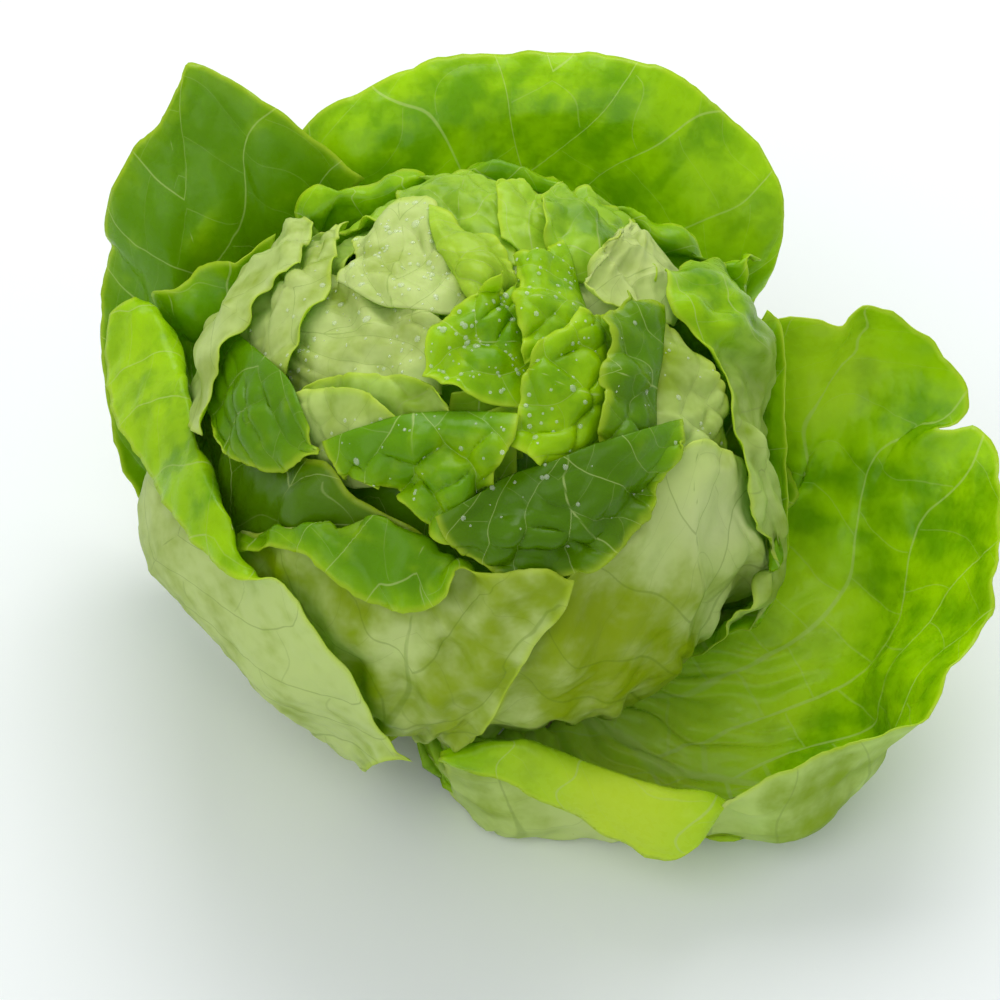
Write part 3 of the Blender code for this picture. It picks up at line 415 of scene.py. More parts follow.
def inner_leaves():
    """The short leaves of the middle, from the innermost out: nodes, rows, cells and finish."""
    short = dict(
        spacing=(11, 9), waves=1.5, wave_size=11, pucker=1.5, under=1.0, curl=0.9, start=0.85, belly=2.4,
        ragged=2.2)
    pale = dict(short, tint_and_painted_light=0.4)
    bright = dict(short, under=0.12, tint_and_painted_light=0.2, spacing=(10, 8))
    inside_out = dict(bright, pucker=-1.7, curl=-1.3, belly=-2.8)
    return [
        (["inner_leaf_back_right"], [
            ring(52, 42, 10, 0.86, 5),
            ring(54, 40, 36, 0.93, 5),
            ring(56, 34, 52, 0.955, 5),
        ], (16, 8), dict(short, tint_and_painted_light=-0.1, under=0.3)),
        (["inner_leaf_back_left"], [
            ring(138, 44, 8, 0.86, 5),
            ring(134, 42, 34, 0.93, 5),
            ring(130, 38, 54, 0.945, 5),
        ], (16, 8), dict(short, tint_and_painted_light=0.0, under=0.5)),
        (["inner_leaf_back"], [
            ring(96, 34, 24, 0.86, 5),
            ring(96, 34, 42, 0.93, 5),
            ring(92, 30, 58, 0.95, 5),
        ], (14, 8), dict(bright, tint_and_painted_light=0.3)),
        (["inner_leaf_top_back"], [
            skin(0.91, (-24, 64), (-14, 62), (-5, 59), (4, 58)),
            skin(0.96, (-23, 71), (-14, 74), (-5, 75), (3, 72)),
        ], (14, 8), dict(bright, tint_and_painted_light=0.4)),
        (["inner_leaf_top"], [
            skin(0.91, (0, 62), (5, 60), (11, 58), (18, 58)),
            skin(0.945, (-0.5, 68), (4, 66), (10, 64), (17, 63)),
            skin(0.97, (-1.5, 72), (5, 73), (11, 71), (18, 67)),
        ], (12, 8), dict(bright, tint_and_painted_light=0.5)),
        (["inner_leaf_top_right"], [
            skin(0.92, (13, 57), (18, 54), (24, 54), (29, 56), (33, 58)),
            skin(0.955, (11, 62), (16, 60), (23, 59), (28, 60), (33, 61)),
            skin(0.975, (9, 71), (16, 72), (23, 71.5), (29, 69), (34, 64)),
        ], (14, 8), dict(bright, tint_and_painted_light=0.2)),
        (["inner_leaf_left_low"], [
            skin(0.89, (-53, 52), (-58, 44), (-58, 34), (-54, 24)),
            skin(0.925, (-38, 54), (-41, 45), (-41, 36), (-38, 26)),
            skin(0.945, (-26, 51), (-17, 47.5), (-13.5, 40), (-15, 27)),
        ], (16, 12), pale),
        (["inner_leaf_left_olive"], [
            skin(0.88, (-50, 20), (-40, 14), (-28, 12), (-18, 14), (-10, 18)),
            skin(0.935, (-48, 26), (-39, 25), (-30, 24), (-20, 23), (-12, 23)),
            skin(0.955, (-47.5, 29.5), (-40, 31.8), (-31, 31.8), (-22, 31), (-14.5, 27.5)),
        ], (16, 8), dict(short, tint_and_painted_light=-0.2, under=0.6)),
        (["inner_leaf_left_round"], [
            skin(0.90, (-52, 14), (-44, 6), (-36, 3), (-27, 4), (-17, 6)),
            skin(0.94, (-50.5, 21), (-43, 17), (-36, 15), (-27, 14), (-18, 12)),
            skin(0.965, (-51, 26), (-44, 27.5), (-34, 26.8), (-25, 22), (-18, 15)),
        ], (16, 10), dict(pale, under=0.85)),
        (["inner_leaf_droplet_back"], [
            skin(0.90, (-37, 50), (-30, 46), (-22, 44), (-14, 44), (-7, 47)),
            skin(0.94, (-34.5, 58), (-29, 55), (-23, 53), (-17, 52), (-11, 54)),
            skin(0.955, (-36, 61.5), (-31, 65), (-25, 67.5), (-17, 68.5), (-13.5, 63)),
        ], (14, 10), dict(pale, tint_and_painted_light=1.0)),
        (["inner_leaf_left_triangle"], [
            skin(0.90, (-44, 66), (-56, 57), (-65, 49), (-69, 39), (-68, 29)),
            skin(0.935, (-40, 65), (-48, 56), (-54, 47), (-59, 38), (-60, 30)),
            skin(0.955, (-35.5, 64.5), (-39.5, 54), (-43, 45), (-49, 34), (-53, 29)),
        ], (14, 10), dict(pale, tint_and_painted_light=0.1)),
        (["inner_leaf_yellow_fold"], [
            skin(0.93, (-16, 66), (-15.5, 60), (-12, 55), (-8, 50)),
            skin(0.985, (-9, 66), (-6.5, 60), (-6, 55), (-4.5, 50)),
            skin(0.95, (-2, 63.5), (2, 60), (4.5, 54.5), (0, 50)),
        ], (12, 10), dict(bright, tint_and_painted_light=0.7)),
        (["inner_leaf_droplet_middle"], [
            skin(0.92, (9, 55), (9, 46), (8, 37), (7, 29), (6, 22)),
            skin(0.955, (-1, 50), (-5, 43.5), (-8, 37), (-9, 31), (-8, 25)),
            skin(0.965, (0, 53), (-9, 47.5), (-15, 41.5), (-18.5, 35), (-20, 30)),
        ], (16, 10), inside_out),
        (["inner_leaf_middle"], [
            skin(0.93, (14, 60), (18, 54), (21, 48), (22, 42), (15, 34)),
            skin(0.985, (9, 60), (10.5, 53), (11.5, 47), (11.5, 41), (10, 35)),
            skin(0.96, (5, 58.5), (4.2, 51), (3.5, 44), (3.5, 38), (6, 33)),
        ], (14, 10), inside_out),
        (["inner_leaf_middle_front"], [
            skin(0.94, (27, 46), (28, 36), (28, 26), (26, 15), (12, 5)),
            skin(0.985, (20, 44.5), (17, 37), (15, 28), (13, 18), (8, 11)),
            skin(0.965, (18, 43), (10, 38), (6, 31), (4, 22), (2, 14)),
        ], (16, 12), inside_out),
        (["inner_leaf_right"], [
            skin(0.90, (30, 48), (29, 36), (28, 24), (27, 12), (27, 2)),
            skin(0.945, (39, 41), (41, 31), (43, 20), (44, 9), (44, 0)),
            skin(0.975, (41, 45), (49.5, 35.5), (55, 26), (57.5, 16), (57.5, 6)),
        ], (16, 12), dict(pale, under=0.8, tint_and_painted_light=-0.1)),
        (["inner_leaf_curl_back"], [
            skin(0.92, (43, 43), (44, 47), (43, 51), (41, 55), (39, 60), (36, 66)),
            skin(0.965, (41, 44.5), (38, 49), (35, 52), (32, 55), (31, 59), (31, 65)),
            skin(0.98, (38, 44), (33, 48), (27, 49.5), (21, 53), (22.5, 57), (27, 63)),
        ], (16, 10), dict(pale, tint_and_painted_light=0.8, curl=-0.8, belly=-2.0, pucker=-1.2, inside=1.0)),
        (["inner_leaf_narrow_fold"], [
            skin(0.94, (38, 46), (38, 36), (37, 26), (37, 16), (36, 6)),
            skin(1.0, (32.5, 49), (30, 40), (28.5, 29), (28.5, 19), (30, 9)),
            skin(0.97, (28, 50), (24.5, 42.5), (23, 30), (23, 20), (25, 10)),
        ], (16, 10), dict(inside_out, tint_and_painted_light=-1.5)),
        (["inner_leaf_pocket"], [
            skin(0.90, (-40, 14), (-30, 17), (-20, 20), (-8, 21), (4, 20)),
            skin(0.965, (-40, 9), (-31, 11), (-20, 13.5), (-9, 15.5), (3, 14.5)),
            skin(0.975, (-38, 6), (-29, 2.5), (-21, -2.5), (-12, -9.5), (-8.5, -1)),
        ], (18, 12), dict(inside_out, tint_and_painted_light=-0.9, spacing=(13, 10), waves=2.0, pucker=-2.0)),
    ]


def heart_leaves():
    """The small leaves that stand out of the heart, as rows and cells."""
    return [
        ([
            skin(0.74, (10, 36), (18, 33), (28, 32)),
            skin(0.86, (4, 50), (15, 45), (27, 42)),
            skin(0.915, (0, 66), (15, 60), (31, 50)),
        ], (10, 10)),
        ([
            skin(0.74, (-14, 12), (-4, 11), (6, 12)),
            skin(0.86, (-13, 22), (-4, 22), (5, 21)),
            skin(0.92, (-12, 27), (-3, 28.5), (4, 26.5)),
        ], (10, 8)),
        ([
            skin(0.74, (-16, 5), (-5, 6), (6, 8)),
            skin(0.88, (-11, 14), (-3, 17), (5, 18)),
            skin(0.94, (-10, 17.5), (-3, 22.5), (4.5, 25)),
        ], (10, 8)),
        ([
            skin(0.74, (-24, -2), (-10, -2), (4, 2)),
            skin(0.88, (-20, 8), (-7, 9), (4, 12)),
            skin(0.935, (-16, 13), (-6, 17), (4, 19.5)),
        ], (10, 8)),
    ]


def knots_of(rows):
    """Where the rows stand between 0 at the stem and 1 at the rim, by their mean distance."""
    gaps = [np.linalg.norm(np.array(a) - np.array(b), axis=1).mean() for a, b in zip(rows, rows[1:])]
    return np.concatenate([[0.0], np.cumsum(gaps)]) / sum(gaps)


def smooth_through(values, knots, at):
    """Values on a smooth curve through the given ones, at places along its knots."""
    slopes = np.gradient(values, knots, axis=0)
    span = np.clip(np.searchsorted(knots, at, side="right") - 1, 0, len(knots) - 2)
    width = (knots[span + 1] - knots[span])[:, None]
    t = (at[:, None] - knots[span][:, None]) / width
    first, last = values[span], values[span + 1]
    start, end = slopes[span] * width, slopes[span + 1] * width
    return (
        (2 * t**3 - 3 * t**2 + 1) * first
        + (t**3 - 2 * t**2 + t) * start
        + (3 * t**2 - 2 * t**3) * last
        + (t**3 - t**2) * end
    )


def shell_values(row):
    """Each point as a way out from the head's middle and the share of the shell that it lies at."""
    scaled = (np.array(row) - HEAD_MIDDLE) / HEAD_AXES
    share = np.linalg.norm(scaled, axis=1, keepdims=True)
    return np.hstack([scaled / share, share])


def from_shell(values):
    ways = values[:, :3] / np.linalg.norm(values[:, :3], axis=1, keepdims=True)
    points = HEAD_MIDDLE + HEAD_AXES * ways * values[:, 3:]
    points[:, 2] = np.maximum(points[:, 2], FLOOR_CLEAR + 0.7)
    return points


def places_along(knots, cells):
    """Where the cuts across a blade fall: each span between rows gets its part of them."""
    places = [0.0]
    for low, high in zip(knots, knots[1:]):
        parts = max(SPAN_CUTS, round(cells * (high - low)))
        places += list(low + (high - low) * np.arange(1, parts + 1) / parts)
    return np.array(places)


def evened(line):
    """Every FINE-th point of a line, some of the way towards being evenly far apart."""
    run = np.concatenate([[0.0], np.cumsum(np.linalg.norm(np.diff(line, axis=0), axis=1))])
    picked = run[::FINE]
    wanted = picked + EVENING * (np.linspace(0, run[-1], len(picked)) - picked)
    return np.array([np.interp(wanted, run, line[:, axis]) for axis in range(3)]).T


def lofted(rows, columns, cells):
    """The blade's points in millimetres: cuts from stem to rim, then columns, then x, y and z."""
    knots = knots_of(rows)
    across = np.linspace(0, 1, columns * FINE + 1)
    values = []
    for row in rows:
        own = np.linspace(0, 1, len(row))
        values.append(smooth_through(shell_values(row), own, across))
    coarse = places_along(knots, cells)
    places = np.interp(np.arange((len(coarse) - 1) * FINE + 1) / FINE, np.arange(len(coarse)), coarse)
    along = smooth_through(np.array(values).reshape(len(rows), -1), knots, places)
    points = from_shell(along.reshape(-1, 4)).reshape(len(places), len(across), 3)
    cuts = np.array([evened(points[:, j]) for j in range(len(across))]).transpose(1, 0, 2)
    return np.array([evened(cut) for cut in cuts])


def halved(grid):
    """The same grid with one more point between each two neighbours."""
    cuts, columns = grid.shape[:2]
    fine = np.zeros((2 * cuts - 1, 2 * columns - 1, 3))
    fine[::2, ::2] = grid
    fine[1::2, ::2] = (grid[1:] + grid[:-1]) / 2
    fine[:, 1::2] = (fine[:, 2::2] + fine[:, :-2:2]) / 2
    return fine


def shortfall(points, stack):
    """How far each point has to move out from the head's middle to clear the leaves stacked so far."""
    needed = np.zeros(points.shape[:2])
    for index in np.ndindex(*needed.shape):
        way = points[index] - HEAD_MIDDLE
        reach = np.linalg.norm(way)
        way /= reach
        hit = stack.ray_cast(Vector(HEAD_MIDDLE + way * FAR_OUT), Vector(-way), FAR_OUT)
        if hit[0] is not None:
            needed[index] = np.clip(FAR_OUT - hit[3] + CLEAR_OF_NEXT - reach, 0.0, None)
        if needed[index] > MOST_STEP:
            needed[index] = 0.0
        near = stack.find_nearest(Vector(points[index]), LEAST_GAP)
        if near[0] is not None:
            needed[index] = max(needed[index], LEAST_GAP - near[3])
    return needed


def neighbours(field):
    """The field and the eight round it, one behind the other."""
    padded = np.pad(field, 1, mode="edge")
    cuts, columns = field.shape
    return np.array([padded[i:i + cuts, j:j + columns] for i in range(3) for j in range(3)])


def lifted_clear(grid, stack):
    """The grid, moved out from the head's middle wherever it comes too near to the leaves so far."""
    way = grid - HEAD_MIDDLE
    way /= np.linalg.norm(way, axis=2, keepdims=True)
    push = np.zeros(grid.shape[:2])
    for _ in range(LIFT_ROUNDS):
        needed = shortfall(halved(settled(grid + way * push[:, :, None])), stack)
        if needed.max() < 0.1:
            break
        push = push + neighbours(needed).max(axis=0)[::2, ::2]
        for _ in range(3):
            push = np.maximum(push, neighbours(push).mean(axis=0))
        push = np.minimum(push, MOST_LIFT)
    push = neighbours(push).mean(axis=0)
    return settled(grid + way * push[:, :, None])


def settled(grid):
    """The grid kept above the table and out of the stem."""
    grid = grid.copy()
    grid[:, :, 2] = np.maximum(grid[:, :, 2], FLOOR_CLEAR + 0.7)
    height = grid[:, :, 2:]
    aside = grid[:, :, :2] - HEAD_MIDDLE[:2] * height / HEAD_MIDDLE[2]
    radius = BUTT_RADIUS + (STEM_TOP_RADIUS - BUTT_RADIUS) * height / STEM_TOP + BASE_CLEAR
    distance = np.linalg.norm(aside, axis=2, keepdims=True)
    outward = aside / distance * np.clip(radius - distance, 0.0, None)
    grid[:, :, :2] += np.where(height < STEM_TOP + 0.7, outward, 0.0)
    return grid


def refined(grid, factor):
    """The grid with factor times as many steps each way, on smooth curves through its points."""
    for _ in range(2):
        count = len(grid)
        at = np.linspace(0, count - 1, (count - 1) * factor + 1)
        flat = smooth_through(grid.reshape(count, -1), np.arange(count, dtype=float), at)
        grid = flat.reshape(len(at), -1, 3).transpose(1, 0, 2)
    return grid


def outward(grid):
    """The way each point's first skin faces."""
    normal = np.cross(np.gradient(grid, axis=1), np.gradient(grid, axis=0))
    return normal / np.maximum(np.linalg.norm(normal, axis=2, keepdims=True), 1e-9)


def grid_faces(cuts, columns, start):
    faces = []
    for i in range(cuts - 1):
        for j in range(columns - 1):
            a = start + i * columns + j
            faces.append((a, a + 1, a + columns + 1, a + columns))
    return faces


def stack_of(grids):
    """One search tree over the given grids."""
    points, faces = [], []
    for grid in grids:
        for skin_grid in (grid, grid - outward(grid) * 0.7):
            faces += grid_faces(*grid.shape[:2], len(points))
            points += [Vector(point) for point in skin_grid.reshape(-1, 3)]
    return BVHTree.FromPolygons(points, faces)


def swell(points, size, seed):
    """A smooth field between about -1 and 1 that rises and falls over this size in millimetres."""
    spin = np.random.default_rng(seed)
    total = np.zeros(points.shape[:-1])
    for _ in range(7):
        way = spin.normal(size=3)
        way *= 2 * math.pi / (size * spin.uniform(0.75, 1.6)) / np.linalg.norm(way)
        total += np.sin(points @ way + spin.uniform(0, 2 * math.pi))
    return total / 2.6


def run_along(grid, axis):
    """How far each point is along its line from the line's start, in millimetres."""
    steps = np.linalg.norm(np.diff(grid, axis=axis), axis=2)
    zero = np.zeros_like(np.take(steps, [0], axis=axis))
    return np.concatenate([zero, np.cumsum(steps, axis=axis)], axis=axis)


def drawn_in(grid, amount):
    """The grid with each column's far end drawn back along it by this share of its length."""
    count = len(grid)
    at = np.arange(count)[:, None] * (1 - amount[None, :])
    low = np.minimum(at.astype(int), count - 2)
    part = (at - low)[:, :, None]
    columns = np.arange(grid.shape[1])[None, :]
    return grid[low, columns] * (1 - part) + grid[low + 1, columns] * part


def nibbled(grid, ragged, seed):
    """The grid with small waves and nicks along its free rim."""
    along = run_along(grid, 0)[-1]
    rim = grid[-1]
    wave = 0.5 * ragged * (swell(rim, RIM_WAVE, seed) + 0.5) + 0.16 * swell(rim, RIM_NICK, seed + 1) + 0.1
    return drawn_in(grid, np.clip(wave, 0.0, None) / np.maximum(along, 10))


def vein_fields(grid, spacing, middle, start, seed):
    """Where each point lies in the leaf: between side veins, cross veins, from the midrib, base and rim."""
    across = run_along(grid, 1)
    column = middle * (grid.shape[1] - 1)
    zero = across[:, int(column)][:, None]
    aside = across - zero
    along = run_along(grid, 0)
    reach = along[-1].mean()
    height = along[:, int(column)][:, None] * 0.5 + along * 0.5
    side = np.abs(aside) + 2.5 * swell(grid, 30, seed)
    run = (height - VEIN_SLANT * np.abs(aside)) / (1.3 * spacing[0])
    run += 0.3 * swell(grid, 2.1 * spacing[0], seed + 1)
    cross = (side + VEIN_SLANT * height) / (1.5 * spacing[1])
    cross += 0.3 * swell(grid, 2.1 * spacing[1], seed + 2)
    rim = np.minimum(along[-1:] - along, np.minimum(across, across[:, -1:] - across) + 0 * along)
    return dict(
        run=run, cross=cross + 0.618 * np.floor(run),
        middle=np.abs(aside + 1.2 * swell(grid, 26, seed + 3)),
        reach=start + (1 - start) * along / reach, rim=rim, aside=aside, reached=along / reach,
        patch=0.5 + 0.16 * swell(grid, 18, seed + 4) + 0.1 * swell(grid, 6, seed + 5),
    )


def spotted(grid, start, spots):
    """A value at each point of a leaf, changed in spots that are placed as the viewer sees them."""
    way = grid - EYE
    scale = VIEW_DISTANCE / (way @ AHEAD)
    across, up = way @ ACROSS * scale, way @ UP * scale
    value = np.full(grid.shape[:2], float(start))
    for spot_across, spot_up, size, change in spots:
        value += change * np.exp(-((across - spot_across) ** 2 + (up - spot_up) ** 2) / size**2)
    return value


def pillow(fields):
    """One in the middle of each cell between veins and nothing on the veins themselves."""
    cells = []
    for name in ("run", "cross"):
        part = np.abs(fields[name] % 1.0 - 0.5) * 2
        cells.append(1 - part**3)
    return cells[0] * cells[1]


def finished(grid, finish, seed):
    """The fine grid of a leaf with its ruffles and puckers, and the fields that its colours use."""
    ragged = finish.get("ragged", 1.0)
    fine = nibbled(refined(grid, finish.get("factor", 4)), ragged, seed)
    fields = vein_fields(
        fine, finish["spacing"], finish.get("middle", 0.5), finish.get("start", 0.0), seed + 10)
    # This field is each leaf's own tint and also painted light and shade: it is set low on leaves that lie
    # in shade, and spots raise it where a leaf should look lit or glowing and lower it where it should look
    # shaded.
    fields["tint_and_painted_light"] = spotted(fine, finish["tint_and_painted_light"], finish.get("spots", ()))
    fields["under"] = np.clip(spotted(fine, finish["under"], finish.get("turned", ())), 0.0, 1.0)
    inside = np.clip(fields["reached"] * 3, 0.0, 1.0)
    raised = finish["pucker"] * (pillow(fields) - 0.4)
    raised *= 0.6 + 0.5 * swell(fine, PUCKER_CHANGE, seed + 4)
    ruffle = 0.45 * ragged * swell(fine, RUFFLE_SIZE, seed + 5) + finish["curl"]
    ruffle *= np.exp(-fields["rim"] / RUFFLE_REACH)
    small = BUMP_HEIGHT * swell(fine, BUMP_SIZE, seed + 6)
    low = np.clip(fields["reached"] * 4, 0, 1) * np.clip(1.4 - 2.2 * fields["reached"], 0, 1)
    turn = 2 * math.pi * fields["aside"] / (5 + 14 * fields["reached"]) + 1.5 * swell(fine, 20, seed + 7)
    pleats = finish.get("pleat", 0.0) * low * (0.6 * np.sin(turn) + 0.3 * np.sin(1.7 * turn + 1))
    shift = inside * (raised + small + ruffle) + pleats
    fine = fine + outward(fine) * shift[:, :, None]
    fine[:, :, 2] = np.maximum(fine[:, :, 2], FLOOR_CLEAR + 0.7)
    return fine, fields


def waved(grid, finish, seed):
    """The grid with slow waves across the blade, none at its base."""
    share = np.linspace(0, 1, len(grid))[:, None]
    height = finish["waves"] * np.clip(share * 2.2 - 0.3, 0.0, 1.0) * swell(grid, finish["wave_size"], seed)
    aside = np.linspace(0, 1, grid.shape[1])[None, :]
    height += finish.get("belly", 0.0) * np.sin(math.pi * aside) * np.sin(math.pi * share)
    return grid + outward(grid) * height[:, :, None]


def flat_blade(columns, cuts):
    """A flat grid made solid, as a mesh, and for each of its points the cut, the column and the skin."""
    bm = bmesh.new()
    bmesh.ops.create_grid(bm, x_segments=columns - 1, y_segments=cuts - 1, size=1.0)
    bmesh.ops.solidify(bm, geom=bm.faces[:], thickness=1.0)
    bmesh.ops.recalc_face_normals(bm, faces=bm.faces[:])
    mesh = bpy.data.meshes.new("blade")
    bm.to_mesh(mesh)
    bm.free()
    flat = np.zeros(len(mesh.vertices) * 3)
    mesh.vertices.foreach_get("co", flat)
    flat = flat.reshape(-1, 3)
    cut = np.rint((flat[:, 1] + 1) / 2 * (cuts - 1)).astype(int)
    column = np.rint((flat[:, 0] + 1) / 2 * (columns - 1)).astype(int)
    return mesh, cut, column, np.abs(flat[:, 2]) > 0.5


STORED = ("run", "cross", "middle", "reach", "rim", "patch")


def blade_object(name, grid, fields, finish, sizes):
    """A leaf's object: a flat solid grid laid through its two skins, with its fields on the points."""
    cuts, columns = grid.shape[:2]
    mesh, cut, column, is_upper = flat_blade(columns, cuts)
    inside = np.clip(fields["rim"] / THICK_FROM, 0, 1)
    thin = sizes.rim_thickness + (sizes.blade_thickness - sizes.rim_thickness) * inside
    rib_width = 0.9 + 2.6 * np.clip(1 - fields["reach"], 0, 1)
    rib = sizes.rib_height * np.exp(-(fields["middle"] / rib_width) ** 2)
    rib = rib * np.clip(1.2 - fields["reach"], 0, 1)
    facing = outward(grid)
    first = grid * MM + facing * rib[:, :, None]
    second = grid * MM - facing * thin[:, :, None]
    points = np.where(is_upper[:, None], second[cut, column], first[cut, column])
    mesh.vertices.foreach_set("co", points.astype(np.float32).ravel())
    values = {key: fields[key][cut, column] for key in STORED}
    values["under"] = np.where(is_upper, finish.get("inside", 0.0), fields["under"][cut, column])
    values["tint_and_painted_light"] = fields["tint_and_painted_light"][cut, column]
    for key, value in values.items():
        mesh.attributes.new(key, "FLOAT", "POINT").data.foreach_set("value", value.astype(np.float32))
    mesh.shade_smooth()
    made = bpy.data.objects.new(name, mesh)
    bpy.context.scene.collection.objects.link(made)
    return made


class Wires:
    """Puts nodes in a node tree and joins them."""

    def __init__(self, tree):
        self.tree = tree

    def add(self, kind, **settings):
        node = self.tree.nodes.new(kind)
        for key, value in settings.items():
            setattr(node, key, value)
        return node

    def put(self, socket, value):
        if isinstance(value, bpy.types.NodeSocket):
            self.tree.links.new(value, socket)
        else:
            socket.default_value = value

    def math(self, operation, *values):
        node = self.add("ShaderNodeMath", operation=operation)
        for socket, value in zip(node.inputs, values):
            self.put(socket, value)
        return node.outputs[0]

    def times(self, first, second):
        return self.math("MULTIPLY", first, second)

    def plus(self, first, second):
        return self.math("ADD", first, second)

    def minus(self, first, second):
        return self.math("SUBTRACT", first, second)

    def faded(self, value, low, high, first=0.0, last=1.0):
        """From first to last as the value goes from low to high."""
        node = self.add("ShaderNodeMapRange", interpolation_type="SMOOTHSTEP")
        for key, given in (("Value", value), ("From Min", low), ("From Max", high), ("To Min", first),
                           ("To Max", last)):
            self.put(node.inputs[key], given)
        return node.outputs["Result"]

    def blend(self, share, first, second):
        node = self.add("ShaderNodeMix", data_type="RGBA")
        for index, given in ((0, share), (6, first), (7, second)):
            self.put(node.inputs[index], given)
        return node.outputs[2]

    def field(self, name):
        return self.add("ShaderNodeAttribute", attribute_name=name).outputs["Fac"]

    def noise(self, place, scale, detail=3.0, rough=0.55):
        node = self.add("ShaderNodeTexNoise")
        self.put(node.inputs["Vector"], place)
        for key, given in (("Scale", scale), ("Detail", detail), ("Roughness", rough)):
            node.inputs[key].default_value = given
        return node.outputs["Fac"]


def new_group(name, inputs, outputs):
    """A node group with these inputs and outputs, its wires, and its two end nodes."""
    group = bpy.data.node_groups.new(name, "ShaderNodeTree")
    for socket, kind in inputs:
        group.interface.new_socket(socket, in_out="INPUT", socket_type=kind)
    for socket, kind in outputs:
        group.interface.new_socket(socket, in_out="OUTPUT", socket_type=kind)
    wires = Wires(group)
    return group, wires, wires.add("NodeGroupInput"), wires.add("NodeGroupOutput")


def vein_group():
    """Masks from a leaf's own fields: one for its veins, one for the middles of the cells between."""
    value = "NodeSocketFloat"
    group, wires, given, made = new_group(
        "leaf_veins",
        [("Run", value), ("Cross", value), ("Middle", value), ("Reach", value)],
        [("Veins", value), ("Cells", value)],
    )
    outer = wires.minus(1.0, given.outputs["Reach"])
    masks, nearness = [], []
    for socket, width in (("Run", 0.024), ("Cross", 0.016)):
        part = wires.math("FRACT", wires.plus(given.outputs[socket], 100.0))
        near = wires.minus(0.5, wires.math("ABSOLUTE", wires.minus(part, 0.5)))
        wide = wires.faded(outer, 0.0, 0.8, width * 0.6, width * 2.4)
        masks.append(wires.minus(1.0, wires.faded(near, wires.times(wide, 0.3), wide)))
        nearness.append(near)
    rib_width = wires.faded(outer, 0.0, 0.9, 0.25, 3.0)
    far = wires.faded(given.outputs["Middle"], wires.times(rib_width, 0.4), rib_width)
    rib = wires.minus(1.0, far)
    cross = wires.times(masks[1], 0.5)
    veins = wires.math("MAXIMUM", rib, wires.math("MAXIMUM", masks[0], cross))
    cells = wires.times(wires.times(nearness[0], nearness[1]), 4.0)
    wires.put(made.inputs["Veins"], veins)
    wires.put(made.inputs["Cells"], cells)
    return group


